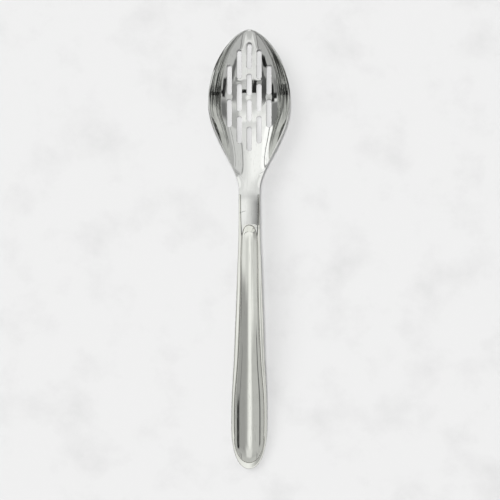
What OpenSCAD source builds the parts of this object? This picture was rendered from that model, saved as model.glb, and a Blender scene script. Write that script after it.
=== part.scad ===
// Slotted serving spoon in polished stainless steel, with a hollow two-shell handle.
// The bowl's tip points to +Y, the handle's end to -Y and the hollow of the bowl up.
// It lies on the plane z = 0 on a flat under the bowl and a flat under the handle's end.
// Stations along the spoon are measured from the bowl's tip towards the handle's end.

/* [Overall] */
// Length from the tip of the bowl to the end of the handle
overall_length = 305; // [285:1:325]
// Height of the handle's arch above the table, at the seat of its front shell
crest_height = 26.4; // [24:0.2:29]

/* [Bowl] */
// Length of the bowl from its tip to the neck
bowl_length = 111; // [104:1:118]
// Width of the bowl between the inner edges of its rim
bowl_width = 55.2; // [50:0.2:60]
// Depth of the bowl below its rim
bowl_depth = 15.5; // [13:0.5:17]
// Sheet thickness in the bowl
bowl_gauge = 1.5; // [1.2:0.1:1.8]

/* [Slots] */
// Width of a drain slot
slot_width = 3.5; // [2.8:0.1:4.2]
// Distance between the centre lines of neighbouring columns of slots
slot_pitch = 6.9; // [6.2:0.05:7.4]

/* [Neck and tang] */
// Width of the neck
neck_width = 14.1; // [13:0.1:15.5]
// Thickness of the neck where the handle's back shell begins
neck_gauge = 3; // [2.7:0.1:3.4]
// Length of the bare neck, from the bowl to the shoulder that the back shell butts on
neck_length = 3.2; // [2:0.2:8]
// Thickness of the tang inside the handle
tang_gauge = 1.9; // [1.5:0.1:2.1]
// Length of the tang behind the neck's shoulder
tang_length = 60; // [50:1:70]

/* [Handle] */
// Greatest width of the handle
handle_width = 24.9; // [22:0.1:27]
// Depth of the back shell below the seat of the front shell, at its widest
belly_depth = 8.4; // [7:0.1:9.5]
// Sheet thickness of both handle shells
shell_gauge = 0.8; // [0.6:0.05:0.9]
// Distance from the neck's shoulder to the nose of the front shell
nose_distance = 21; // [16:0.5:26]
// Greatest width of the back shell's ring that shows beside the front shell
ring_width = 3; // [2.4:0.05:3.4]
// Width of the ring at the handle's end
end_ring_width = 4.5; // [3.5:0.1:5.5]
// Height of the front shell's crown at its widest
front_crown = 1.9; // [1.2:0.1:2.6]
// Leg of the weld bead round the front shell
weld_leg = 0.3; // [0.2:0.05:0.4]

/* [Hidden] */

// Gap between faces that lie against each other
seat_gap = 0.03;
// Gap between the tang and the inside of the back shell
tang_gap = 0.1;
// Groove between the sides of the neck and the back shell's edges
seam_gap = 0.35;
// How far the weld fill lies below the top of its groove
seam_recess = 0.15;
// Height of the weld fill in the groove
seam_fill = 0.5;
// How far the curved undersides would dip below the table before they are flattened
rest_sink = 0.35;
// Half of the height over which an underside runs out into its flat
rest_blend = 0.12;
// How far the ring and the neck fall from their centre line to their edge at the widest
ring_fall = 1.4;
// Slope at which the ring rises again outside the front shell, and how far out that begins
ring_dish = 0.045;
ring_dish_gap = 0.5;
// Radius of the back shell's shoulder
shoulder_radius = 0.6;
// Step from the underside of the flange down to the start of the inner wall
corner_drop = 0.05;
// Where the flange ends on the inside, as a share of the way from the opening to the wall
bend_share = 0.7;
// How far the back shell's flange reaches under the front shell
seat_overlap = 1.2;
// Length of the step at the neck's shoulder
shoulder_step = 0.15;
// Length that a slot cutter runs past the sheet
overrun = 4;
// Small step for the slopes that a sheet's thickness is set off from
slope_step = 0.01;

// Lengths of the rounded ends of the handle's plan
stern_length = 30.3;
panel_stern = 17;
nose_length = 12;
tang_end_length = 5;
// Squareness of the rounded ends and of the belly, as exponents
stern_power = 2.2;
panel_power = 2.05;
nose_power = 2.5;
tang_power = 2.5;
belly_power = 2.4;
crown_power = 3;
bowl_power = 2.35;
tip_power = 2;
// Shares of the bowl's length: where the section has its full squareness, and where it is
// rounded off again towards the neck
full_power_share = 0.25;
neck_power_share = 0.8;
// Shares of the bowl's length: where the sheet starts to thicken into the neck, and over what run
stout_share = 0.72;
stout_run = 0.25;

// Numbers of stations and columns in the sheets
bowl_steps = 46;
tang_steps = 14;
bowl_columns = 32;
side_steps = 30;
end_steps = 9;
panel_columns = 14;
flange_steps = 6;
shoulder_steps = 3;
belly_steps = 9;

handle_length = overall_length - bowl_length;
shoulder_station = bowl_length + neck_length;
shell_start = shoulder_station + shoulder_step + seat_gap;
tang_end = shoulder_station + tang_length;
nose_station = shoulder_station + nose_distance;
panel_end = overall_length - end_ring_width;
widest_station = overall_length - stern_length;

// The bowl's plan: shares of its length, and of half its width, from the tip to the neck.
// The last points are the neck, as shares of the neck's width.
bowl_plan_shares = [
    [0.015, 0.17], [0.046, 0.345], [0.092, 0.515], [0.153, 0.683], [0.234, 0.84],
    [0.333, 0.95], [0.44, 0.997], [0.54, 0.96], [0.64, 0.828], [0.739, 0.646],
    [0.829, 0.475], [0.91, 0.338]
];
neck_plan_shares = [[0.968, 1.077], [1, 1.037]];

// Heights of the spoon's centre line: shares of the bowl's length and of its depth
bowl_line_shares = [
    [0.072, 0.7], [0.162, 0.4], [0.288, 0.137], [0.432, 0],
    [0.576, 0.095], [0.72, 0.42], [0.856, 0.8]
];
// Heights of the centre line over the handle: shares of its length and of the crest's height
handle_line_shares = [
    [0, 0.735], [0.082, 0.868], [0.175, 0.958], [0.278, 1], [0.407, 0.968],
    [0.562, 0.828], [0.716, 0.61], [0.835, 0.415]
];
// The line near the handle's end: shares of the handle's length and of the belly's depth
end_line_shares = [[0.933, 0.87], [1, 0.68]];
// How far the tip's underside stands out ahead of its top, as a share of the sheet
tip_reach_share = 0.55;
tip_reach = bowl_gauge * tip_reach_share;
// How high the rim stands over the centre line: shares of the bowl's length and depth
rim_rise_shares = [
    [0.072, 0.3], [0.162, 0.6], [0.288, 0.87], [0.432, 1],
    [0.576, 0.92], [0.72, 0.62], [0.856, 0.235]
];

// The handle's plan: shares of its length, and the blend from neck width to full width
side_plan_shares = [
    [0, 0.037], [0.088, 0.05], [0.16, 0.07], [0.213, 0.128], [0.284, 0.235],
    [0.391, 0.37], [0.498, 0.53], [0.605, 0.68], [0.676, 0.825], [0.747, 0.952],
    [0.79, 0.987], [0.844, 1], [0.898, 0.987]
];
// The ring's width beside the front shell: shares of the handle's length and of the width
ring_shares = [
    [0.12, 0.78], [0.213, 0.68], [0.309, 0.85], [0.391, 0.93], [0.498, 1], [0.569, 0.98],
    [0.64, 0.92], [0.7, 0.81], [0.747, 0.745], [0.854, 0.745], [1, 0.745]
];
// The belly's depth: shares of the handle's length, and the blend from neck to full depth
belly_shares = [
    [0, 0], [0.04, 0.01], [0.1, 0.13], [0.2, 0.32], [0.4, 0.58], [0.6, 0.8],
    [0.8, 0.98], [0.85, 1], [1, 1]
];
// The tang's plan: shares of its length, and of the neck's width
tang_plan_shares = [
    [0, 0.84], [0.1, 0.838], [0.2, 0.83], [0.35, 0.795], [0.46, 0.75], [0.57, 0.67],
    [0.68, 0.605], [0.82, 0.585], [1, 0.58]
];

// Drain slots of one half, as column and shares of the bowl's length at their two ends
slot_shares = [
    [0, 0.0755, 0.236], [0, 0.2655, 0.401], [0, 0.426, 0.5635], [0, 0.598, 0.754],
    [1, 0.117, 0.2975], [1, 0.326, 0.4995], [1, 0.5305, 0.7045],
    [2, 0.212, 0.397], [2, 0.425, 0.604]
];

// Smooth curves through hand-placed points

// Second slopes of the natural cubic spline through points [x, y]
function bends(points) =
    let (
        last = len(points) - 1,
        gap = [for (i = [0:last - 1]) points[i + 1].x - points[i].x],
        turn = [for (i = [1:last - 1])
            6 * ((points[i + 1].y - points[i].y) / gap[i]
               - (points[i].y - points[i - 1].y) / gap[i - 1])],
        forward = [
            for (i = 1,
                 c = gap[1] / (2 * (gap[0] + gap[1])),
                 d = turn[0] / (2 * (gap[0] + gap[1]));
                 i < last;
                 i = i + 1,
                 pivot = i < last ? 2 * (gap[i - 1] + gap[i]) - gap[i - 1] * c : 1,
                 d = i < last ? (turn[i - 1] - gap[i - 1] * d) / pivot : 0,
                 c = i < last ? gap[i] / pivot : 0)
            [c, d]],
        back = [
            for (i = last - 2, m = forward[last - 2][1];
                 i >= 0;
                 i = i - 1,
                 m = i >= 0 ? forward[i][1] - forward[i][0] * m : 0)
            m]
    )
    concat([0], [for (i = [last - 2:-1:0]) back[i]], [0]);

// A curve is its points with their second slopes
function curve(points) = [points, bends(points)];

// Index of the span of a curve that holds x
function span_of(points, x, i = 0) =
    i >= len(points) - 2 || x < points[i + 1].x ? i : span_of(points, x, i + 1);

// Height of a curve at x
function at(c, x) =
    let (
        i = span_of(c[0], x),
        p = c[0][i],
        q = c[0][i + 1],
        h = q.x - p.x,
        a = (q.x - x) / h,
        b = (x - p.x) / h
    )
    a * p.y + b * q.y
    + ((a * a * a - a) * c[1][i] + (b * b * b - b) * c[1][i + 1]) * h * h / 6;

function smooth(x) = let (c = max(0, min(1, x))) c * c * (3 - 2 * c);

// Lines and widths along the spoon, by station

line_curve = curve(concat(
    [[tip_reach, bowl_gauge - rest_sink + bowl_depth]],
    [for (p = bowl_line_shares)
        [p.x * bowl_length, bowl_gauge - rest_sink + p.y * bowl_depth]],
    [for (p = handle_line_shares)
        [bowl_length + p.x * handle_length, p.y * crest_height]],
    [for (p = end_line_shares)
        [bowl_length + p.x * handle_length, p.y * belly_depth]]));

side_curve = curve([for (p = side_plan_shares)
    [bowl_length + p.x * handle_length,
     (neck_width + (handle_width - neck_width) * p.y) / 2]]);

belly_curve = curve([for (p = belly_shares)
    [bowl_length + p.x * handle_length,
     neck_gauge + (belly_depth - neck_gauge) * p.y]]);

tang_curve = curve([for (p = tang_plan_shares)
    [shoulder_station + p.x * tang_length, p.y * neck_width / 2]]);

rise_curve = curve(concat(
    [[tip_reach, 0]],
    [for (p = rim_rise_shares) [p.x * bowl_length, p.y * bowl_depth]],
    [for (s = [bowl_length, shoulder_station, nose_station]) [s, -fall(s)]]));

ring_curve = curve([for (p = ring_shares)
    [bowl_length + p.x * handle_length, p.y * ring_width]]);

function line(s) = at(line_curve, s);
function side(s) = at(side_curve, min(s, widest_station));
function belly(s) = at(belly_curve, min(s, widest_station));
function fall(s) = ring_fall * side(s) * 2 / handle_width;

// How far a place lies from the handle's centre line to its outline, from 0 to 1
function reach(x, s) =
    pow(pow(abs(x) / side(s), stern_power)
        + pow(max(0, s - widest_station) / stern_length, stern_power), 1 / stern_power);

// Top of the neck, the tang and the ring: one smooth seat for the front shell
function seat(x, s) = line(s) - fall(s) * pow(reach(x, s), 2);

// Runs an underside out into the flat that the spoon lies on
function rested(z) =
    z < -rest_blend ? 0
    : z < rest_blend ? pow(z + rest_blend, 2) / (4 * rest_blend)
    : z;

// The model's frame, from station and offset
function place(x, s, z) = [x, overall_length / 2 - s, z];

// The bowl with its neck and tang

// The plan outline of the bowl as two curves over a running number, mirrored at the tip
plan_points = concat(
    [[tip_reach, 0]],
    [for (p = bowl_plan_shares)
        [tip_reach + p.x * (bowl_length - tip_reach), p.y * bowl_width / 2]],
    [for (p = neck_plan_shares)
        [tip_reach + p.x * (bowl_length - tip_reach), p.y * neck_width / 2]],
    [[shoulder_station, side(shoulder_station)]]);
plan_last = len(plan_points) - 1;
mirrored_points = concat(
    [for (i = [3:-1:1]) [plan_points[i].x, -plan_points[i].y]], plan_points);
plan_station = curve([for (i = [0:len(mirrored_points) - 1]) [i - 3, mirrored_points[i].x]]);
plan_half = curve([for (i = [0:len(mirrored_points) - 1]) [i - 3, mirrored_points[i].y]]);

// A bowl station: [station, half width, centre height, rim rise, exponent of the section]
function bowl_station(t) =
    let (s = at(plan_station, t))
    [s, at(plan_half, t), line(s), at(rise_curve, s),
     tip_power + (bowl_power - tip_power) * smooth(s / bowl_length / full_power_share)
               * (1 - smooth((s / bowl_length - neck_power_share) / (1 - neck_power_share)))];

// A point of the bowl's top on a station, at a share v of the half width
function top_point(st, v) =
    let (z = st[2] + st[3] * pow(abs(v), st[4]))
    place(st[1] * v, st[0], rested(z - bowl_gauge) + bowl_gauge);

// How far below the centre line the belly starts: under the shell's shoulder on the outside,
// and under its flange on the inside, which lies in by the thickness cut
function edge_depth(s, cut) =
    fall(s) + (cut > 0 ? cut + corner_drop : shoulder_radius);

// The underside of the neck, rounded like the shell that goes on from it
function round_under(x, s, cut) =
    let (
        edge = edge_depth(s, cut),
        deep = max(belly(s) - cut, edge),
        share = min(1, abs(x) / (side(s) - cut))
    )
    line(s) - edge - (deep - edge) * pow(1 - pow(share, belly_power), 1 / belly_power);

function unit(v) = v / norm(v);

// The sheet's underside: square to the top in the bowl, rounded in the neck
function under_point(t, v) =
    let (
        before = bowl_station(t - slope_step),
        here = bowl_station(t),
        after = bowl_station(t + slope_step),
        p = top_point(here, v),
        along = top_point(after, v) - top_point(before, v),
        across = top_point(here, v + slope_step) - top_point(here, v - slope_step),
        up = unit(cross(along, across)),
        off = p - (up.z < 0 ? -up : up) * bowl_gauge,
        neck = [p.x, p.y, round_under(p.x, here[0], 0)],
        mix = smooth((here[0] / bowl_length - stout_share) / stout_run)
    )
    off * (1 - mix) + neck * mix;

// Shares of the half width, closer together towards the rim
function across_shares(count) = [for (j = [0:count]) sin(180 * (j / count - 0.5))];

// Runs of the bowl's stations, without the tip, which is a single point
bowl_runs = [for (i = [1:bowl_steps]) plan_last * i / bowl_steps];
// Run at which the underside of the tip is taken
pole_run = 0.04;

function tang_station(s) =
    at(tang_curve, s) * pow(max(0, 1 - pow(max(0, s - tang_end + tang_end_length)
                                           / tang_end_length, tang_power)), 1 / tang_power);

tang_stations = concat(
    [for (i = [0:tang_steps - 1])
        shoulder_station + shoulder_step
        + (tang_length - tang_end_length - shoulder_step) * i / tang_steps],
    [for (i = [0:end_steps])
        tang_end - tang_end_length * (1 - pow(sin(90 * i / end_steps), 2 / tang_power))]);

function tang_top(x, s) = place(x, s, seat(x, s));
function tang_under(x, s) =
    place(x, s, max(seat(x, s) - tang_gauge,
                    round_under(x, s, shell_gauge) + tang_gap));

module slotted_bowl() {
    shares = across_shares(bowl_columns);
    tip_top = top_point(bowl_station(0), 0);
    tip_under = under_point(pole_run, 0);
    top = concat(
        [[for (v = shares) tip_top]],
        [for (t = bowl_runs) let (st = bowl_station(t)) [for (v = shares) top_point(st, v)]],
        [for (s = tang_stations) [for (v = shares) tang_top(v * tang_station(s), s)]]);
    under = concat(
        [[for (v = shares) [0, tip_under.y, tip_under.z]]],
        [for (t = bowl_runs) [for (v = shares) under_point(t, v)]],
        [for (s = tang_stations) [for (v = shares) tang_under(v * tang_station(s), s)]]);
    color("silver")
        difference() {
            sheet(top, under);
            for (slot = slot_shares, flip = slot[0] == 0 ? [1] : [-1, 1])
                drain_slot(flip * slot[0] * slot_pitch,
                           slot[1] * bowl_length, slot[2] * bowl_length);
        }
}

// One round-ended slot cutter, punched straight down through the bowl
module drain_slot(x, start, end) {
    radius = slot_width / 2;
    height = bowl_depth + overrun * 2;
    translate(place(x, start + radius, -overrun))
        cylinder(h = height, r = radius, $fn = 48);
    translate(place(x, end - radius, -overrun))
        cylinder(h = height, r = radius, $fn = 48);
    translate(place(x - radius, end - radius, -overrun))
        cube([slot_width, end - start - slot_width, height]);
}

// A closed sheet from two grids of points, the first row and the last being single points
module sheet(top, under) {
    rows = len(top);
    columns = len(top[0]);
    points = concat([for (row = top) each row], [for (row = under) each row]);
    below = rows * columns;
    faces = concat(
        [for (i = [0:rows - 2], j = [0:columns - 2])
            each halves(points, [i * columns + j, i * columns + j + 1,
                                 (i + 1) * columns + j + 1, (i + 1) * columns + j])],
        [for (i = [0:rows - 2], j = [0:columns - 2])
            each halves(points, [below + i * columns + j, below + (i + 1) * columns + j,
                                 below + (i + 1) * columns + j + 1,
                                 below + i * columns + j + 1])],
        [for (i = [0:rows - 2])
            each halves(points, [i * columns, (i + 1) * columns,
                                 below + (i + 1) * columns, below + i * columns])],
        [for (i = [0:rows - 2])
            let (j = columns - 1)
            each halves(points, [i * columns + j, below + i * columns + j,
                                 below + (i + 1) * columns + j, (i + 1) * columns + j])]);
    polyhedron(points, faces);
}

// The two triangles of a four-sided cell, without those that have shrunk to nothing
function halves(points, q) = [
    for (f = [[q[0], q[1], q[2]], [q[0], q[2], q[3]]])
        if (points[f[0]] != points[f[1]] && points[f[1]] != points[f[2]]
            && points[f[2]] != points[f[0]]) f];

// The handle's shells

// Half width of the front shell beside the ring, before its ends are rounded
function panel_side(s) = side(s) - at(ring_curve, s);
nose_centre = nose_station + nose_length;
stern_centre = panel_end - panel_stern;

// How far a place lies from the front shell's centre line to its outline, from 0 to 1
function panel_reach(x, s) =
    let (power = s < nose_centre ? nose_power : panel_power)
    pow(pow(abs(x) / panel_side(s), power) + pow(end_reach(s), power), 1 / power);

// How far a station lies into one of the front shell's rounded ends, from 0 to 1
function end_reach(s) =
    min(1, max(0, (s - stern_centre) / panel_stern, (nose_centre - s) / nose_length));

panel_stations = concat(
    [for (i = [end_steps:-1:1])
        nose_centre - nose_length * pow(sin(90 * i / end_steps), 2 / nose_power)],
    [for (i = [0:side_steps])
        nose_centre + (stern_centre - nose_centre) * i / side_steps],
    [for (i = [1:end_steps])
        stern_centre + panel_stern * pow(sin(90 * i / end_steps), 2 / panel_power)]);

// Half width of the front shell at a station, nothing at its two ends
function panel_half(s) =
    let (power = s < nose_centre ? nose_power : panel_power)
    panel_side(s) * pow(1 - pow(end_reach(s), power), 1 / power);

function crown(x, s) =
    front_crown * side(s) * 2 / handle_width
    * (1 - pow(min(1, panel_reach(x, s)), crown_power));

module handle_front_shell() {
    shares = across_shares(panel_columns);
    top = [for (s = panel_stations) [for (v = shares)
        let (x = v * panel_half(s))
        place(x, s, seat(x, s) + seat_gap + crown(x, s) + shell_gauge)]];
    under = [for (s = panel_stations) [for (v = shares)
        let (x = v * panel_half(s))
        place(x, s, seat(x, s) + seat_gap + crown(x, s))]];
    color("gainsboro")
        sheet(top, under);
}

// Outline of the back shell, from its mouth to the middle of the stern
shell_stations = [for (i = [0:side_steps]) shell_start + (widest_station - shell_start) * i / side_steps];

function shell_outline() = concat(
    [for (s = shell_stations) [side(s), s]],
    [for (i = [1:end_steps])
        [side(widest_station) * pow(max(0, cos(90 * i / end_steps)), 2 / stern_power),
         widest_station + stern_length * pow(sin(90 * i / end_steps), 2 / stern_power)]]);

// Where a line that lies inside the front shell's outline by an overlap crosses a rib, as a
// share of the way out. The opening's edge is such a line, and so is the ring's inner edge.
function opening_share(o, overlap) =
    o[1] <= widest_station
        ? max(tang_share(o[1]), (panel_side(o[1]) - overlap) / side(o[1]))
        : 1 / pow(pow(o[0] / (panel_side(stern_centre) - overlap), panel_power)
                + pow((o[1] - widest_station)
                      / (panel_end - overlap - widest_station), panel_power),
              1 / panel_power);

// The opening clears the tang and its groove
function tang_share(s) =
    s < tang_end ? (at(tang_curve, s) + seam_gap) / side(s) : 0;

// The points of one rib, from the opening's edge over the flange and shoulder to the keel
function rib(o, cut) =
    let (
        hub = min(o[1], widest_station),
        arm = norm([o[0], o[1] - hub]),
        inner = opening_share(o, seat_overlap),
        wall = 1 - cut / arm,
        bend = cut > 0 ? inner + (wall - inner) * bend_share : 1 - shoulder_radius / arm,
        high = seat_on(o, hub, bend) - cut,
        rim = hub + wall * (o[1] - hub),
        low = line(rim) - edge_depth(rim, cut)
    )
    concat(
        [for (k = [0:flange_steps])
            let (a = inner + (bend - inner) * k / flange_steps)
            rib_point(o, hub, a, seat_on(o, hub, a) - cut)],
        [for (k = [1:shoulder_steps])
            let (turn = 90 * k / shoulder_steps)
            rib_point(o, hub, bend + (wall - bend) * sin(turn),
                      low + (high - low) * cos(turn))],
        [for (k = [1:belly_steps])
            let (
                turn = 90 * k / belly_steps,
                a = k == belly_steps ? 0 : pow(cos(turn), 2 / belly_power) * wall,
                s = hub + a * (o[1] - hub),
                edge = edge_depth(s, cut)
            )
            rib_point(o, hub, a,
                line(s) - edge
                - (belly(s) - cut - edge) * pow(sin(turn), 2 / belly_power))]);

// Height of the flange: the seat under the front shell, then the ring's slight dish
function seat_on(o, hub, a) =
    let (
        s = hub + a * (o[1] - hub),
        arm = norm([o[0], o[1] - hub]),
        level = min(a, opening_share(o, 0) + ring_dish_gap / arm)
    )
    line(s) - fall(s) * level * level + ring_dish * (a - level) * arm;

function rib_point(o, hub, a, z) = [a * o[0], hub + a * (o[1] - hub), z];

// All ribs round the handle: the right side, the stern and the left side
function shell_ribs(cut) =
    let (
        right = [for (o = shell_outline())
            [for (p = rib(o, cut)) place(p[0], p[1], cut > 0 ? max(rested(p[2] - cut) + cut, 0)
                                                             : rested(p[2]))]],
        left = [for (i = [len(right) - 2:-1:0])
            [for (p = right[i]) [-p.x, p.y, p.z]]]
    )
    concat(right, left);

module handle_back_shell() {
    outer = shell_ribs(0);
    inner = shell_ribs(shell_gauge);
    rows = len(outer);
    columns = len(outer[0]);
    points = concat([for (row = outer) each row], [for (row = inner) each row]);
    below = rows * columns;
    faces = concat(
        [for (i = [0:rows - 2], j = [0:columns - 2])
            each halves(points, [i * columns + j, i * columns + j + 1,
                                 (i + 1) * columns + j + 1, (i + 1) * columns + j])],
        [for (i = [0:rows - 2], j = [0:columns - 2])
            each halves(points, [below + i * columns + j, below + (i + 1) * columns + j,
                                 below + (i + 1) * columns + j + 1,
                                 below + i * columns + j + 1])],
        [for (i = [0:rows - 2])
            each halves(points, [i * columns, (i + 1) * columns,
                                 below + (i + 1) * columns, below + i * columns])],
        [for (j = [0:columns - 2])
            each halves(points, [j, below + j, below + j + 1, j + 1])],
        [for (j = [0:columns - 2])
            let (i = rows - 1)
            each halves(points, [i * columns + j, i * columns + j + 1,
                                 below + i * columns + j + 1, below + i * columns + j])]);
    color("silver")
        polyhedron(points, faces);
}

// The welds

// Points all round the front shell's outline
function panel_loop() =
    let (right = [for (s = panel_stations) [panel_half(s), s]])
    concat(right, [for (i = [len(right) - 2:-1:1]) [-right[i][0], right[i][1]]]);

module front_shell_weld() {
    loop = panel_loop();
    count = len(loop);
    ring = [for (i = [0:count - 1])
        let (
            p = loop[i],
            before = loop[(i + count - 1) % count],
            after = loop[(i + 1) % count],
            run = unit(after - before),
            out = [run[1], -run[0]],
            foot = p + out * seat_gap,
            toe = p + out * (seat_gap + weld_leg),
            base = seat(foot[0], foot[1]) + seat_gap
        )
        [place(foot[0], foot[1], base),
         place(toe[0], toe[1], seat(toe[0], toe[1]) + seat_gap),
         place(foot[0], foot[1], base + weld_leg)]];
    corners = len(ring[0]);
    color("darkgray")
        polyhedron(
            [for (row = ring) each row],
            [for (i = [0:count - 1], j = [0:corners - 1])
                let (next = (i + 1) % count, side = (j + 1) % corners)
                each [[i * corners + j, next * corners + j, next * corners + side],
                      [i * corners + j, next * corners + side, i * corners + side]]]);
}

// The weld fills run from the shoulder to the nose of the front shell
fill_end = nose_station - seat_gap;
fill_steps = 6;

module neck_seam_welds() {
    for (flip = [-1, 1])
        neck_seam_weld(flip);
}

module neck_seam_weld(flip) {
    rows = [for (i = [0:fill_steps])
        let (
            s = shell_start + (fill_end - shell_start) * i / fill_steps,
            near = at(tang_curve, s) + seat_gap,
            far = at(tang_curve, s) + seam_gap - seat_gap
        )
        [for (corner = [[near, 1], [far, 1], [far, 0], [near, 0]])
            place(flip * corner[0], s,
                  seat(corner[0], s) - seam_recess - (1 - corner[1]) * seam_fill)]];
    corners = len(rows[0]);
    last = len(rows) - 1;
    sides = [for (i = [0:last - 1], j = [0:corners - 1])
        let (other = (j + 1) % corners)
        each [[i * corners + j, (i + 1) * corners + other, (i + 1) * corners + j],
              [i * corners + j, i * corners + other, (i + 1) * corners + other]]];
    ends = [[0, 3, 2, 1], [for (j = [0:corners - 1]) last * corners + j]];
    faces = concat(sides, ends);
    color("darkgray")
        polyhedron(
            [for (row = rows) each row],
            flip > 0 ? faces : [for (f = faces) [for (j = [len(f) - 1:-1:0]) f[j]]]);
}

slotted_bowl();
handle_back_shell();
handle_front_shell();
front_shell_weld();
neck_seam_welds();
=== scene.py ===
"""A slotted serving spoon in mirror-polished stainless steel, lying on a pale stone table.

The spoon is worked out from a few driving sizes in millimetres. Stations run along it from the
bowl's tip towards the handle's end, offsets run to the right of its centre line. Meshes are
written in metres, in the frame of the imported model.
"""

import logging
import math
from dataclasses import dataclass
from enum import Enum
from functools import partial
from typing import Callable, Sequence

import bpy
import numpy as np
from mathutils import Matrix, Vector
from mathutils.geometry import delaunay_2d_cdt


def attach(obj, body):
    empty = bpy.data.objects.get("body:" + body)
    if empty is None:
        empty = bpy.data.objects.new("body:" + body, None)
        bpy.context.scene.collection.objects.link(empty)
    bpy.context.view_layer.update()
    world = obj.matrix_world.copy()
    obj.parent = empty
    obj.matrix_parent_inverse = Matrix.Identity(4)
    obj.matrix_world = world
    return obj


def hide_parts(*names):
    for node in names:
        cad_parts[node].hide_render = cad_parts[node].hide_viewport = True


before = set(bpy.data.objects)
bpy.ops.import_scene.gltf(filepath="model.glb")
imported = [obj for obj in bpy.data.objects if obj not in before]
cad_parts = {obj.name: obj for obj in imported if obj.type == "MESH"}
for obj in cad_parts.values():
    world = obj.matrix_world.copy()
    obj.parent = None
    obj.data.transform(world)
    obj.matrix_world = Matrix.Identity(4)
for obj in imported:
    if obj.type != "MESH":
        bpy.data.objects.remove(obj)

LOG = logging.getLogger("spoon")
MM = 0.001
BODY = "root"
TINY = 1e-12
SLOPE_STEP = 0.01
MERGE_DIGITS = 5
CUT_PRECISION = 1e-7
FAR = 1e3
MIRRORED = 3

Array = np.ndarray
Surface = Callable[[Array, Array], Array]
Tree = bpy.types.NodeTree
Node = bpy.types.Node
Socket = bpy.types.NodeSocket
Material = bpy.types.Material
Piece = bpy.types.Object


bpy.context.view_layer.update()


def smooth(x: Array) -> Array:
    """Return the smooth step of x between 0 and 1."""
    c = np.clip(x, 0.0, 1.0)
    return c * c * (3.0 - 2.0 * c)


def unit(vectors: Array) -> Array:
    """Return vectors scaled to a length of 1 along their last axis."""
    size = np.linalg.norm(vectors, axis=-1, keepdims=True)
    return vectors / np.maximum(size, TINY)


def quarter(steps: int) -> Array:
    """Return the angles of even steps over a quarter turn, without its start."""
    return np.linspace(0, math.pi / 2, steps + 1)[1:]


def squared_arc(turn: Array, power: float) -> tuple[Array, Array]:
    """Return places on a round corner that may be squared off.

    Args:
        turn: Angles in radians, from 0 where the corner starts.
        power: How square the corner is, with 2 for a circle.

    Returns:
        How much is left of the way that the corner starts at, and how far across it has come.
    """
    cos, sin = np.cos(turn), np.abs(np.sin(turn))
    cos = np.where(np.abs(cos) < TINY, 0.0, cos)
    return np.sign(cos) * np.abs(cos) ** (2 / power), sin ** (2 / power)


class Spline:
    """A natural cubic curve through given points."""

    def __init__(self, points: Sequence[Sequence[float]]) -> None:
        """Solve the curve.

        Args:
            points: Pairs of place and height, in rising order of place.
        """
        pairs = np.asarray(points, float)
        self.x, self.y = pairs[:, 0], pairs[:, 1]
        gap = np.diff(self.x)
        slope = np.diff(self.y) / gap
        system = np.eye(len(self.x))
        load = np.zeros(len(self.x))
        for i in range(1, len(self.x) - 1):
            system[i, i - 1:i + 2] = gap[i - 1], 2 * (gap[i - 1] + gap[i]), gap[i]
            load[i] = 6 * (slope[i] - slope[i - 1])
        self.bend = np.linalg.solve(system, load)

    def __call__(self, x: Array) -> Array:
        """Return the curve's height.

        Args:
            x: Places along the curve.

        Returns:
            The height at each place.
        """
        x = np.asarray(x, float)
        i = np.clip(np.searchsorted(self.x, x, side="right") - 1, 0, len(self.x) - 2)
        h = self.x[i + 1] - self.x[i]
        a = (self.x[i + 1] - x) / h
        b = (x - self.x[i]) / h
        cubic = (a ** 3 - a) * self.bend[i] + (b ** 3 - b) * self.bend[i + 1]
        return a * self.y[i] + b * self.y[i + 1] + cubic * h * h / 6


# Given shares, as in the part's own source

BOWL_PLAN_SHARES = (
    (0.015, 0.17), (0.046, 0.345), (0.092, 0.515), (0.153, 0.683), (0.234, 0.84),
    (0.333, 0.95), (0.44, 0.997), (0.54, 0.96), (0.64, 0.828), (0.739, 0.646),
    (0.829, 0.475), (0.91, 0.338),
)
NECK_PLAN_SHARES = ((0.968, 1.077), (1.0, 1.037))
BOWL_LINE_SHARES = (
    (0.072, 0.7), (0.162, 0.4), (0.288, 0.137), (0.432, 0.0), (0.576, 0.095), (0.72, 0.42),
    (0.856, 0.8),
)
HANDLE_LINE_SHARES = (
    (0.0, 0.735), (0.082, 0.868), (0.175, 0.958), (0.278, 1.0), (0.407, 0.968),
    (0.562, 0.828), (0.716, 0.61), (0.835, 0.415),
)
END_LINE_SHARES = ((0.933, 0.87), (1.0, 0.68))
RIM_RISE_SHARES = (
    (0.072, 0.3), (0.162, 0.6), (0.288, 0.87), (0.432, 1.0), (0.576, 0.92), (0.72, 0.62),
    (0.856, 0.235),
)
SIDE_PLAN_SHARES = (
    (0.0, 0.037), (0.088, 0.05), (0.16, 0.07), (0.213, 0.128), (0.284, 0.235),
    (0.391, 0.37), (0.498, 0.53), (0.605, 0.68), (0.676, 0.825), (0.747, 0.952),
    (0.79, 0.987), (0.844, 1.0), (0.898, 0.987),
)
RING_SHARES = (
    (0.12, 0.78), (0.213, 0.68), (0.309, 0.85), (0.391, 0.93), (0.498, 1.0), (0.569, 0.98),
    (0.64, 0.92), (0.7, 0.81), (0.747, 0.745), (0.854, 0.745), (1.0, 0.745),
)
BELLY_SHARES = (
    (0.0, 0.0), (0.04, 0.01), (0.1, 0.13), (0.2, 0.32), (0.4, 0.58), (0.6, 0.8), (0.8, 0.98),
    (0.85, 1.0), (1.0, 1.0),
)
TANG_PLAN_SHARES = (
    (0.0, 0.84), (0.1, 0.838), (0.2, 0.83), (0.35, 0.795), (0.46, 0.75), (0.57, 0.67),
    (0.68, 0.605), (0.82, 0.585), (1.0, 0.58),
)
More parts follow.
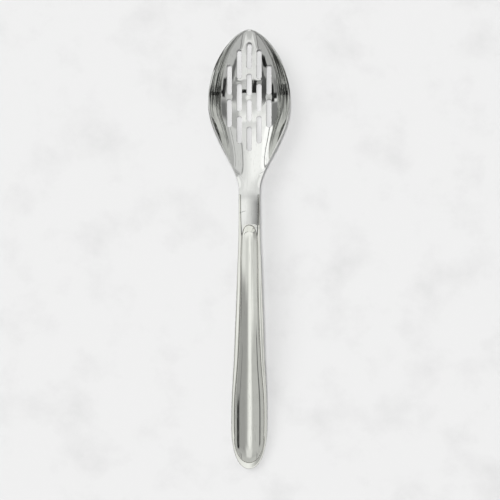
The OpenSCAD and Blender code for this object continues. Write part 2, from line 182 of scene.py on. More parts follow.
SLOT_SHARES = (
    (0, 0.0755, 0.236), (0, 0.2655, 0.401), (0, 0.426, 0.5635), (0, 0.598, 0.754),
    (1, 0.117, 0.2975), (1, 0.326, 0.4995), (1, 0.5305, 0.7045), (2, 0.212, 0.397),
    (2, 0.425, 0.604),
)
TIP_REACH_SHARE = 0.55


@dataclass
class SpoonForm:
    """The spoon's driving sizes in millimetres, and the surfaces that follow from them."""

    overall_length: float = 305.0
    crest_height: float = 26.4
    bowl_length: float = 111.0
    bowl_width: float = 55.2
    bowl_depth: float = 15.5
    bowl_gauge: float = 1.5
    slot_width: float = 3.5
    slot_pitch: float = 6.9
    neck_width: float = 14.1
    neck_gauge: float = 3.0
    neck_length: float = 3.2
    tang_gauge: float = 1.9
    tang_length: float = 60.0
    handle_width: float = 24.9
    belly_depth: float = 8.4
    shell_gauge: float = 0.8
    nose_distance: float = 21.0
    ring_width: float = 3.0
    end_ring_width: float = 4.5
    front_crown: float = 1.9
    seat_gap: float = 0.03
    tang_gap: float = 0.1
    seam_gap: float = 0.35
    rest_sink: float = 0.35
    rest_blend: float = 0.12
    ring_fall: float = 1.4
    ring_dish: float = 0.045
    ring_dish_gap: float = 0.5
    shoulder_radius: float = 0.6
    corner_drop: float = 0.05
    seat_overlap: float = 1.2
    shoulder_step: float = 0.15
    stern_length: float = 30.3
    panel_stern: float = 17.0
    nose_length: float = 12.0
    tang_end_length: float = 5.0
    stern_power: float = 2.2
    panel_power: float = 2.05
    nose_power: float = 2.5
    tang_power: float = 2.5
    belly_power: float = 2.4
    crown_power: float = 3.0
    bowl_power: float = 2.35
    tip_power: float = 2.0
    pierce_sink: float = 0.035
    pierce_reach: float = 0.9
    pierce_power: float = 1.5
    full_power_share: float = 0.25
    neck_power_share: float = 0.8
    stout_share: float = 0.72
    stout_run: float = 0.25
    plan_samples: int = 6001
    least_half: float = 1e-4
    under_tries: int = 6

    def __post_init__(self) -> None:
        """Work out the stations and the curves."""
        bowl, handle = self.bowl_length, self.overall_length - self.bowl_length
        self.handle_length = handle
        self.shoulder_station = bowl + self.neck_length
        self.shell_start = self.shoulder_station + self.shoulder_step + self.seat_gap
        self.tang_end = self.shoulder_station + self.tang_length
        self.nose_station = self.shoulder_station + self.nose_distance
        self.nose_centre = self.nose_station + self.nose_length
        self.panel_end = self.overall_length - self.end_ring_width
        self.stern_centre = self.panel_end - self.panel_stern
        self.widest_station = self.overall_length - self.stern_length
        self.tip_reach = self.bowl_gauge * TIP_REACH_SHARE
        lowest = self.bowl_gauge - self.rest_sink
        depth = self.bowl_depth
        self.line = Spline(
            [(self.tip_reach, lowest + depth)]
            + [(x * bowl, lowest + y * depth) for x, y in BOWL_LINE_SHARES]
            + [(bowl + x * handle, y * self.crest_height) for x, y in HANDLE_LINE_SHARES]
            + [(bowl + x * handle, y * self.belly_depth) for x, y in END_LINE_SHARES])
        widening = self.handle_width - self.neck_width
        self._side = Spline(
            [(bowl + x * handle, (self.neck_width + widening * y) / 2)
             for x, y in SIDE_PLAN_SHARES])
        self._belly = Spline(
            [(bowl + x * handle, self.neck_gauge + (self.belly_depth - self.neck_gauge) * y)
             for x, y in BELLY_SHARES])
        self.tang = Spline(
            [(self.shoulder_station + x * self.tang_length, y * self.neck_width / 2)
             for x, y in TANG_PLAN_SHARES])
        self.ring = Spline([(bowl + x * handle, y * self.ring_width) for x, y in RING_SHARES])
        ends = np.array([bowl, self.shoulder_station, self.nose_station])
        self.rise = Spline(
            [(self.tip_reach, 0.0)]
            + [(x * bowl, y * depth) for x, y in RIM_RISE_SHARES]
            + list(zip(ends, -self.fall(ends))))
        self._plan_curves()
        self.slots = self._slot_table()

    def _plan_curves(self) -> None:
        """Make the bowl's plan outline as two curves over a running number."""
        run = self.bowl_length - self.tip_reach
        points = [(self.tip_reach, 0.0)]
        points += [(self.tip_reach + x * run, y * self.bowl_width / 2) for x, y in BOWL_PLAN_SHARES]
        points += [(self.tip_reach + x * run, y * self.neck_width / 2) for x, y in NECK_PLAN_SHARES]
        points += [(self.shoulder_station, float(self.side(self.shoulder_station)))]
        self.plan_last = len(points) - 1
        whole = [(s, -half) for s, half in points[MIRRORED:0:-1]] + points
        self.plan_station = Spline([(i - MIRRORED, s) for i, (s, _) in enumerate(whole)])
        self.plan_half = Spline([(i - MIRRORED, half) for i, (_, half) in enumerate(whole)])
        self._runs = np.linspace(0.0, self.plan_last, self.plan_samples)
        self._roots = np.sqrt(np.maximum(self.plan_station(self._runs) - self.tip_reach, 0.0))

    def _slot_table(self) -> list[tuple[float, float, float]]:
        """Work out where the slots are.

        Returns:
            Each slot's offset and the stations of its two end centres.
        """
        radius = self.slot_width / 2
        table = []
        for column, start, end in SLOT_SHARES:
            for flip in ((1,) if column == 0 else (-1, 1)):
                table.append((flip * column * self.slot_pitch,
                              start * self.bowl_length + radius,
                              end * self.bowl_length - radius))
        return table

    def side(self, s: Array) -> Array:
        """Return half the handle's width at station s."""
        return self._side(np.minimum(s, self.widest_station))

    def belly(self, s: Array) -> Array:
        """Return the depth of the back shell's keel below the centre line."""
        return self._belly(np.minimum(s, self.widest_station))

    def fall(self, s: Array) -> Array:
        """Return how far the ring falls from the centre line to its edge."""
        return self.ring_fall * self.side(s) * 2 / self.handle_width

    def seat(self, x: Array, s: Array) -> Array:
        """Return the height of the smooth seat that runs over neck, tang and ring.

        Args:
            x: Offsets.
            s: Stations.

        Returns:
            The seat's heights there.
        """
        late = np.maximum(0.0, s - self.widest_station) / self.stern_length
        across = np.abs(x) / self.side(s)
        reach = (across ** self.stern_power + late ** self.stern_power) ** (1 / self.stern_power)
        return self.line(s) - self.fall(s) * reach ** 2

    def rested(self, z: Array) -> Array:
        """Run an underside out into the flat that the spoon lies on."""
        blend = self.rest_blend
        return np.where(z < -blend, 0.0, np.where(z < blend, (z + blend) ** 2 / (4 * blend), z))

    def run_of(self, s: Array) -> Array:
        """Return the plan outline's running number at station s."""
        return np.interp(np.sqrt(np.maximum(s - self.tip_reach, 0.0)), self._roots, self._runs)

    def slot_distance(self, x: Array, s: Array) -> Array:
        """Return the plan distance from places to the edge of the nearest slot.

        Args:
            x: Offsets.
            s: Stations.

        Returns:
            The distances, below 0 inside a slot.
        """
        best = np.full(np.shape(x), FAR)
        for offset, start, end in self.slots:
            along = np.clip(s, start, end)
            best = np.minimum(best, np.hypot(x - offset, s - along))
        return best - self.slot_width / 2

    def bowl_top(self, x: Array, s: Array) -> Array:
        """Return the height of the blade's top, from the tip over the neck to the tang.

        Args:
            x: Offsets.
            s: Stations.

        Returns:
            The top's heights there, drawn down a little round the pierced slots.
        """
        run = self.run_of(s)
        half = np.maximum(self.plan_half(run), self.least_half)
        share = s / self.bowl_length
        neck = smooth((share - self.neck_power_share) / (1 - self.neck_power_share))
        power = self.tip_power + (self.bowl_power - self.tip_power) \
            * smooth(share / self.full_power_share) * (1 - neck)
        bowl = self.line(s) + self.rise(s) * (np.abs(x) / half) ** power
        pulled = self.pierce_sink * np.exp(-(np.maximum(self.slot_distance(x, s), 0.0)
                                             / self.pierce_reach) ** self.pierce_power)
        return np.where(s < self.shoulder_station, bowl - pulled, self.seat(x, s))

    def edge_depth(self, s: Array, cut: float) -> Array:
        """Return how far below the centre line the belly starts, cut inside its outline."""
        return self.fall(s) + (cut + self.corner_drop if cut > 0 else self.shoulder_radius)

    def round_under(self, x: Array, s: Array, cut: float) -> Array:
        """Return the rounded underside of the neck, or the inside of the back shell.

        Args:
            x: Offsets.
            s: Stations.
            cut: How far the surface lies inside the outer one.

        Returns:
            The heights there.
        """
        edge = self.edge_depth(s, cut)
        deep = np.maximum(self.belly(s) - cut, edge)
        share = np.minimum(1.0, np.abs(x) / (self.side(s) - cut))
        bulge = (1 - share ** self.belly_power) ** (1 / self.belly_power)
        return self.line(s) - edge - (deep - edge) * bulge

    def stout(self, s: Array) -> Array:
        """Return how far the sheet has thickened into the neck at a station, from 0 to 1."""
        return smooth((s / self.bowl_length - self.stout_share) / self.stout_run)

    def blade_under(self, x: Array, s: Array) -> Array:
        """Return the point of the blade's underside that lies square below a top place.

        Args:
            x: Offsets of the places on the top.
            s: Stations of the places on the top.

        Returns:
            Offsets, stations and heights, stacked along the last axis.
        """
        top = np.stack([x, s, self.bowl_top(x, s)], axis=-1)
        square = top - surface_normal(self.bowl_top, x, s) * self.bowl_gauge
        neck = np.stack([x, s, self.round_under(x, s, 0.0)], axis=-1)
        mix = self.stout(s)[..., None]
        blade = square * (1 - mix) + neck * mix
        inside = np.maximum(self.seat(x, s) - self.tang_gauge,
                            self.round_under(x, s, self.shell_gauge) + self.tang_gap)
        tang = np.stack([x, s, inside], axis=-1)
        past = np.clip((s - self.shoulder_station) / self.shoulder_step, 0, 1)[..., None]
        point = blade * (1 - past) + tang * past
        point[..., 2] = self.rested(point[..., 2])
        return point

    def blade_under_height(self, x: Array, s: Array) -> Array:
        """Return the underside's height at plan places, found by stepping to their tops.

        Args:
            x: Offsets.
            s: Stations.

        Returns:
            The underside's heights there.
        """
        tx, ts = np.array(x, float), np.array(s, float)
        for _ in range(self.under_tries):
            point = self.blade_under(tx, ts)
            tx += x - point[..., 0]
            ts += s - point[..., 1]
        return self.blade_under(tx, ts)[..., 2]

    def placed(self, points: Array) -> Array:
        """Turn offset, station and height into the model's X, Y and Z, in metres."""
        middle = self.overall_length / 2
        return np.stack([points[:, 0], middle - points[:, 1], points[:, 2]], axis=-1) * MM

    def panel_side(self, s: Array) -> Array:
        """Return the front shell's half width before its ends are rounded."""
        return self.side(s) - self.ring(s)

    def end_reach(self, s: Array) -> Array:
        """Return how far stations lie into a rounded end of the front shell.

        Args:
            s: Stations.

        Returns:
            0 where the end starts, and 1 where it stops.
        """
        late = (s - self.stern_centre) / self.panel_stern
        early = (self.nose_centre - s) / self.nose_length
        return np.clip(np.maximum(late, early), 0.0, 1.0)

    def panel_exponent(self, s: Array) -> Array:
        """Return the squareness of the front shell's plan at a station."""
        return np.where(s < self.nose_centre, self.nose_power, self.panel_power)

    def panel_reach(self, x: Array, s: Array) -> Array:
        """Return how far out a place lies on the front shell, from 0 to 1."""
        power = self.panel_exponent(s)
        return ((np.abs(x) / self.panel_side(s)) ** power
                + self.end_reach(s) ** power) ** (1 / power)

    def crown(self, x: Array, s: Array) -> Array:
        """Return the height of the front shell's crown over its seat."""
        rise = self.front_crown * self.side(s) * 2 / self.handle_width
        return rise * (1 - np.minimum(1.0, self.panel_reach(x, s)) ** self.crown_power)


def surface_normal(height: Surface, x: Array, s: Array) -> Array:
    """Return the upward unit normals of a height surface over offset and station.

    Args:
        height: The surface, as a function of offset and station.
        x: Offsets.
        s: Stations.

    Returns:
        Normals as offset, station and height parts.
    """
    step = SLOPE_STEP
    dx = (height(x + step, s) - height(x - step, s)) / (2 * step)
    ds = (height(x, s + step) - height(x, s - step)) / (2 * step)
    return unit(np.stack([-dx, -ds, np.ones_like(dx)], axis=-1))


def outline_normals(points: Array, closed: bool) -> Array:
    """Return the unit plan normals of an outline, to the left of its direction.

    Args:
        points: The outline's offsets and stations.
        closed: Whether its end meets its start.

    Returns:
        A normal for each point.
    """
    if closed:
        run = np.roll(points, -1, axis=0) - np.roll(points, 1, axis=0)
    else:
        run = np.gradient(points, axis=0)
    return unit(np.stack([-run[:, 1], run[:, 0]], axis=-1))


class SheetMesh:
    """A mesh that is gathered from grids, strips and patches, in millimetres."""

    def __init__(self, form: SpoonForm) -> None:
        """Start empty.

        Args:
            form: The spoon, which knows where its points lie in the model's frame.
        """
        self.form = form
        self.points: list[Array] = []
        self.normals: list[Array] = []
        self.faces: list[tuple[int, ...]] = []
        self.count = 0

    def add(self, points: Array, normals: Array | None = None) -> Array:
        """Add points of offset, station and height.

        Args:
            points: The points, in an array of any shape with a last axis of 3.
            normals: Their normals, or None where the mesh's own serve.

        Returns:
            The points' numbers, in an array of the same shape.
        """
        flat = np.asarray(points, float).reshape(-1, 3)
        vectors = np.zeros_like(flat) if normals is None else normals.reshape(-1, 3)
        self.points.append(flat)
        self.normals.append(vectors)
        numbers = np.arange(self.count, self.count + len(flat))
        self.count += len(flat)
        return numbers.reshape(np.shape(points)[:-1])

    def grid(self, numbers: Array, closed: bool = False, skip: Array | None = None) -> None:
        """Add the faces of a grid of point numbers.

        Args:
            numbers: Rows and columns of point numbers.
            closed: Whether the last column meets the first.
            skip: Marks the cells that are left out.
        """
        after = np.roll(numbers, -1, axis=1) if closed else numbers[:, 1:]
        before = numbers if closed else numbers[:, :-1]
        cells = np.stack([before[:-1], before[1:], after[1:], after[:-1]], axis=-1)
        if skip is not None:
            cells = cells[~skip]
        self.faces += [tuple(cell) for cell in cells.reshape(-1, 4).tolist()]

    def build(self, name: str, finish: Material, sharp: float = 50.0,
              layout: Callable[[Array], Array] | None = None) -> Piece:
        """Make the Blender object, with doubled points merged.

        Args:
            name: The object's name.
            finish: Its material.
            sharp: The angle in degrees past which an edge stays sharp.
            layout: Turns points into places on a UV map, for a pattern that follows the rim.

        Returns:
            The object, at the origin.
        """
        points, normals = np.concatenate(self.points), np.concatenate(self.normals)
        _, first, same = np.unique(np.round(points, MERGE_DIGITS), axis=0, return_index=True,
                                   return_inverse=True)
        same = same.reshape(-1)
        faces = []
        for face in self.faces:
            ring = [same[i] for i in face]
            ring = [v for k, v in enumerate(ring) if v != ring[k - 1]]
            if len(ring) > 2 and len(set(ring)) == len(ring):
                faces.append(ring)
        points, normals = points[first], normals[first]
        mesh = bpy.data.meshes.new(name)
        mesh.from_pydata(self.form.placed(points).tolist(), [], faces)
        mesh.validate()
        mesh.materials.append(finish)
        mesh.polygons.foreach_set("use_smooth", [True] * len(mesh.polygons))
        if layout is not None:
            corner = np.empty(len(mesh.loops), int)
            mesh.loops.foreach_get("vertex_index", corner)
            uv = mesh.uv_layers.new(name="layout")
            uv.data.foreach_set("uv", layout(points)[corner].reshape(-1))
        if np.any(normals):
            own = np.array([v.normal[:] for v in mesh.vertices])
            given = np.stack([normals[:, 0], -normals[:, 1], normals[:, 2]], axis=-1)
            blank = ~np.any(given, axis=1)
            given[blank] = own[blank]
            mesh.normals_split_custom_set_from_vertices(given.tolist())
        else:
            mesh.set_sharp_from_angle(angle=math.radians(sharp))
        LOG.info("%s: %d points, %d faces", name, len(points), len(faces))
        return show(name, mesh)


def strip_normals(points: Array, closed: bool) -> Array:
    """Return the normals of a grid of points from its neighbours.

    Args:
        points: Rows and columns of points of offset, station and height.
        closed: Whether the rows are closed rings.

    Returns:
        Unit normals, along row direction crossed with column direction.
    """
    if closed:
        along = np.roll(points, -1, axis=1) - np.roll(points, 1, axis=1)
    else:
        along = np.gradient(points, axis=1)
    down = np.gradient(points, axis=0)
    return unit(np.cross(along, down))


# Working with Blender's objects and nodes


def show(name: str, data: bpy.types.ID) -> Piece:
    """Make an object and put it in the scene.

    Args:
        name: The object's name.
        data: Its mesh, light or camera.

    Returns:
        The object, at the origin.
    """
    piece = bpy.data.objects.new(name, data)
    bpy.context.scene.collection.objects.link(piece)
    return piece


def emptied(owner: Material | bpy.types.World) -> Tree:
    """Empty the node tree of a material or a world.

    Args:
        owner: What the tree belongs to.

    Returns:
        The tree.
    """
    owner.use_nodes = True
    owner.node_tree.nodes.clear()
    return owner.node_tree


def add_node(tree: Tree, kind: str, links: dict | None = None, **settings: object) -> Node:
    """Add a node with its settings and links.

    Args:
        tree: The node tree.
        kind: The node's type name.
        links: Input names or numbers, each with a value or the output that feeds it.
        settings: Properties of the node itself.

    Returns:
        The node.
    """
    node = tree.nodes.new(kind)
    for key, value in settings.items():
        setattr(node, key, value)
    for key, value in (links or {}).items():
        if isinstance(value, Socket):
            tree.links.new(value, node.inputs[key])
        else:
            node.inputs[key].default_value = value
    return node


def linear(hex_colour: str) -> tuple[float, float, float, float]:
    """Turn an sRGB hex value into a linear colour with full alpha."""
    parts = [int(hex_colour[i:i + 2], 16) / 255 for i in (1, 3, 5)]
    return tuple(c / 12.92 if c <= 0.04045 else ((c + 0.055) / 1.055) ** 2.4
                 for c in parts) + (1.0,)


def start_tree(name: str, sizes: dict[str, float]) -> tuple[Tree, Node]:
    """Start a geometry tree with its named inputs.

    Args:
        name: The tree's name.
        sizes: Its sizes by name, with whole numbers for seeds.

    Returns:
        The tree, and the node that gives the inputs.
    """
    tree = bpy.data.node_groups.new(name, "GeometryNodeTree")
    add_socket = tree.interface.new_socket
    add_socket("Geometry", in_out="INPUT", socket_type="NodeSocketGeometry")
    for key, value in sizes.items():
        kind = "NodeSocketInt" if isinstance(value, int) else "NodeSocketFloat"
        add_socket(key, in_out="INPUT", socket_type=kind).default_value = value
    add_socket("Finish", in_out="INPUT", socket_type="NodeSocketMaterial")
    add_socket("Geometry", in_out="OUTPUT", socket_type="NodeSocketGeometry")
    return tree, add_node(tree, "NodeGroupInput")


def end_tree(tree: Tree, given: Node, made: Socket) -> None:
    """End a geometry tree: what it made becomes real and gets the finish.

    Args:
        tree: The tree.
        given: The node that gives the tree's inputs.
        made: The geometry that the tree has made.
    """
    real = add_node(tree, "GeometryNodeRealizeInstances", {"Geometry": made})
    dressed = add_node(tree, "GeometryNodeSetMaterial",
                       {"Geometry": real.outputs["Geometry"],
                        "Material": given.outputs["Finish"]})
    add_node(tree, "NodeGroupOutput", {"Geometry": dressed.outputs["Geometry"]})


def evaluate(tree: Tree, source: Piece, values: dict[str, object],
             name: str) -> bpy.types.Mesh:
    """Run a geometry tree on an object and return the result as a plain mesh.

    Args:
        tree: The geometry tree.
        source: The object that the tree works on, which is removed.
        values: The tree's inputs by name.
        name: The name of the new mesh.

    Returns:
        The mesh.
    """
    modifier = source.modifiers.new("Tree", "NODES")
    modifier.node_group = tree
    sockets = {item.name: item.identifier for item in tree.interface.items_tree
               if item.item_type == "SOCKET" and item.in_out == "INPUT"}
    for key, value in values.items():
        modifier[sockets[key]] = value
    graph = bpy.context.evaluated_depsgraph_get()
    mesh = bpy.data.meshes.new_from_object(source.evaluated_get(graph))
    mesh.name = name
    source.modifiers.remove(modifier)
    bpy.data.objects.remove(source)
    return mesh


def path_object(name: str, points: Array, edges: Sequence[tuple[int, int]]) -> Piece:
    """Make an object of points and edges, for a geometry tree to work on.

    Args:
        name: The object's name.
        points: The points, in the tree's own unit.
        edges: Pairs of point numbers.

    Returns:
        The object.
    """
    mesh = bpy.data.meshes.new(name)
    mesh.from_pydata(points.tolist(), list(edges), [])
    return show(name, mesh)


# Finishes


class Polish(Enum):
    """How the last polishing wheel ran over a piece."""

    ALONG = (1.0, 0.045, 1.0)
    BUFFED = (1.0, 0.5, 1.0)


@dataclass(frozen=True)
class Grain:
    """A noise pattern: its real size, its finer steps and how strong each of them is."""

    size_mm: float
    detail: float = 0.0
    roughness: float = 0.5

    def at(self, place: Socket) -> dict[str, object]:
        """Return the inputs of a noise texture that draws the pattern over a place."""
        return {"Vector": place, "Scale": 1 / (self.size_mm * MM), "Detail": self.detail,
                "Roughness": self.roughness}


@dataclass(frozen=True)
class PolishedSteel:
    """18/10 stainless steel, stamped or drawn, ground and mirror polished.

    The eye sees the room in it, a little grey and warm. Faint lines from the polishing wheel
    run along it, fine hairline scratches from use cross them, and thin hazy marks dull it. Real
    lines and scratches are too fine to show, so they are drawn as coarse as they need to be.
    """

    name: str
    colour: str = "#CBCCC6"
    haze_colour: str = "#BFC0BA"
    roughness: float = 0.025
    haze_roughness: float = 0.16
    polish: Polish = Polish.ALONG
    line: Grain = Grain(0.5, 3.0, 0.6)
    line_height_mm: float = 0.0012
    wave: Grain = Grain(9.0, 1.0)
    wave_height_mm: float = 0.03
    haze: Grain = Grain(22.0, 5.0, 0.62)
    haze_levels: tuple[float, float] = (0.5, 0.78)
    haze_share: float = 0.55
    scratch: Grain = Grain(0.35)
    scratch_levels: tuple[float, float] = (0.71, 0.8)
    scratch_runs: tuple[tuple[float, float], ...] = ((0.35, 0.03), (-0.8, 0.045))
    scratch_depth: float = 0.2

    def build(self) -> Material:
        """Build the material.

        Returns:
            The material, with its patterns on Object coordinates.
        """
        material = bpy.data.materials.new(self.name)
        tree = emptied(material)
        add = partial(add_node, tree)
        place = add("ShaderNodeTexCoord").outputs["Object"]
        stretched = add("ShaderNodeMapping", {"Vector": place, "Scale": self.polish.value})
        lines = add("ShaderNodeTexNoise", self.line.at(stretched.outputs["Vector"]))
        waves = add("ShaderNodeTexNoise", self.wave.at(place))
        haze = add("ShaderNodeTexNoise", self.haze.at(place))
        least, most = self.haze_levels
        marks = add("ShaderNodeMapRange",
                    {"Value": haze.outputs["Fac"], "From Min": least, "From Max": most},
                    interpolation_type="SMOOTHSTEP")
        dull = add("ShaderNodeMath", {0: marks.outputs["Result"], 1: self.haze_share},
                   operation="MULTIPLY")
        worn = add("ShaderNodeMath", {0: dull.outputs[0], 1: self.scratches(tree, place)},
                   operation="MAXIMUM").outputs[0]
        rough = add("ShaderNodeMapRange", {"Value": worn, "To Min": self.roughness,
                                           "To Max": self.haze_roughness})
        tint = add("ShaderNodeMix", {"Factor": worn, 6: linear(self.colour),
                                     7: linear(self.haze_colour)}, data_type="RGBA")
        soft = add("ShaderNodeBump", {"Height": waves.outputs["Fac"], "Strength": 1.0,
                                      "Distance": self.wave_height_mm * MM})
        fine = add("ShaderNodeBump", {"Height": lines.outputs["Fac"], "Strength": 1.0,
                                      "Distance": self.line_height_mm * MM,
                                      "Normal": self.relief(tree, soft.outputs["Normal"])})
        # The base colour carries painted dark reflection streaks where the finish paints them.
        shader = add("ShaderNodeBsdfPrincipled",
                     {"Base Color": self.painted_reflection_streaks(tree, tint.outputs[2]), "Metallic": 1.0,
                      "Roughness": rough.outputs["Result"], "Normal": fine.outputs["Normal"]})
        add("ShaderNodeOutputMaterial", {"Surface": shader.outputs["BSDF"]})
        return material

    def relief(self, tree: Tree, normal: Socket) -> Socket:
        """Return the surface's larger relief, which a plain polished piece has none of."""
        return normal

    def painted_reflection_streaks(self, tree: Tree, colour: Socket) -> Socket:
        """Return the steel's colour, without the painted reflection streaks of a stamped bowl."""
        return colour

    def scratches(self, tree: Tree, place: Socket) -> Socket:
        """Add the hairline scratches of use, as thin warped bands at two angles.

        Args:
            tree: The material's tree.
            place: The Object coordinate.

        Returns:
            The scratches' strength, from 0 to 1.
        """
        add = partial(add_node, tree)
        least, most = self.scratch_levels
        parts = []
        for turn, squeeze in self.scratch_runs:
            turned = add("ShaderNodeMapping", {"Vector": place, "Rotation": (0.0, 0.0, turn),
                                               "Scale": (1.0, squeeze, self.scratch_depth)})
            cells = add("ShaderNodeTexNoise", self.scratch.at(turned.outputs["Vector"]))
            parts.append(add("ShaderNodeMapRange", {"Value": cells.outputs["Fac"],
                                                    "From Min": least, "From Max": most}))
        both = {number: part.outputs["Result"] for number, part in enumerate(parts)}
        return add("ShaderNodeMath", both, operation="MAXIMUM").outputs[0]


@dataclass(frozen=True)
class StampedSteel(PolishedSteel):
    """Mirror-polished stainless steel that a die has drawn into a bowl.

    The steep walls keep draw lines that run with the rim, as a shallow relief. Along them the
    colour is painted near-black in thin streaks: painted dark reflection streaks that stand for
    the broken-up reflections the walls show. They too are drawn coarser than real ones, so that
    they show.
    """

    colour: str = "#CBCCC9"
    haze_colour: str = "#C0C1BE"
    draw_line_mm: float = 0.9
    draw_line_run_mm: float = 22.0
    draw_height_mm: float = 0.07
    draw_detail: float = 1.0
    draw_roughness: float = 0.4
    # Painted dark reflection streaks: their colour, their levels on the draw lines and how far they
    # darken.
    painted_dark_streak_colour: str = "#3E3F3C"
    painted_streak_levels: tuple[float, float] = (0.53, 0.43)
    painted_streak_share: float = 0.92
    wall_starts_mm: float = 19.5
    wall_full_mm: float = 23.0
    bowl_ends_mm: float = 64.0
    fade_mm: float = 20.0
    seed: float = 3.7

    def drawn(self, tree: Tree) -> tuple[Socket, Socket]:
        """Add the draw lines on the UV map, whose first value runs across the bowl.

        Args:
            tree: The material's tree.

        Returns:
            The lines' pattern, and how far a place is up the wall and inside the bowl.
        """
        add = partial(add_node, tree)
        spot = add("ShaderNodeUVMap", uv_map="layout").outputs["UV"]
        scale = (1 / (self.draw_line_mm * MM), 1 / (self.draw_line_run_mm * MM), 1.0)
        stretched = add("ShaderNodeMapping", {"Vector": spot, "Scale": scale,
                                              "Location": (self.seed, self.seed, 0.0)})
        lines = add("ShaderNodeTexNoise",
                    {"Vector": stretched.outputs["Vector"], "Scale": 1.0,
                     "Detail": self.draw_detail, "Roughness": self.draw_roughness},
                    noise_dimensions="2D")
        sides = add("ShaderNodeSeparateXYZ", {0: spot})
        across = add("ShaderNodeMath", {0: sides.outputs["X"]}, operation="ABSOLUTE")
        ends = ((across.outputs[0], self.wall_starts_mm, self.wall_full_mm),
                (sides.outputs["Y"], self.bowl_ends_mm, self.bowl_ends_mm - self.fade_mm))
        shares = {}
        for number, (value, starts, full) in enumerate(ends):
            share = add("ShaderNodeMapRange",
                        {"Value": value, "From Min": starts * MM, "From Max": full * MM},
                        interpolation_type="SMOOTHSTEP")
            shares[number] = share.outputs[0]
        both = add("ShaderNodeMath", shares, operation="MULTIPLY")
        return lines.outputs["Fac"], both.outputs[0]

    def painted_reflection_streaks(self, tree: Tree, colour: Socket) -> Socket:
        """Paint dark reflection streaks into the steel's colour along the draw lines.

        Args:
            tree: The material's tree.
            colour: The steel's own colour.

        Returns:
            The streaked colour.
        """
        add = partial(add_node, tree)
        lines, wall = self.drawn(tree)
        light, dark = self.painted_streak_levels
        line = add("ShaderNodeMapRange", {"Value": lines, "From Min": light, "From Max": dark,
                                          "To Max": self.painted_streak_share},
                   interpolation_type="SMOOTHSTEP")
        share = add("ShaderNodeMath", {0: line.outputs[0], 1: wall}, operation="MULTIPLY")
        # Mix the painted dark reflection streaks into the steel's colour on the walls.
        mixed = add("ShaderNodeMix", {"Factor": share.outputs[0], 6: colour,
                                      7: linear(self.painted_dark_streak_colour)}, data_type="RGBA")
        return mixed.outputs[2]

    def relief(self, tree: Tree, normal: Socket) -> Socket:
        """Add the draw lines on the walls as a shallow relief.

        Args:
            tree: The material's tree.
            normal: The surface's normal before them.

        Returns:
            The normal with them.
        """
        lines, wall = self.drawn(tree)
        height = add_node(tree, "ShaderNodeMath", {0: wall, 1: lines}, operation="MULTIPLY")
        return add_node(tree, "ShaderNodeBump",
                        {"Height": height.outputs[0], "Strength": 1.0, "Normal": normal,
                         "Distance": self.draw_height_mm * MM}).outputs["Normal"]


@dataclass(frozen=True)
class BuffedWeld(PolishedSteel):
    """Stainless weld metal, ground down and buffed by hand.

    It looks a little darker than the mirror beside it, and shows the room only as a soft sheen.
    """

    colour: str = "#BDBBB5"
    roughness: float = 0.2
    haze_roughness: float = 0.35
    polish: Polish = Polish.BUFFED


# The pieces


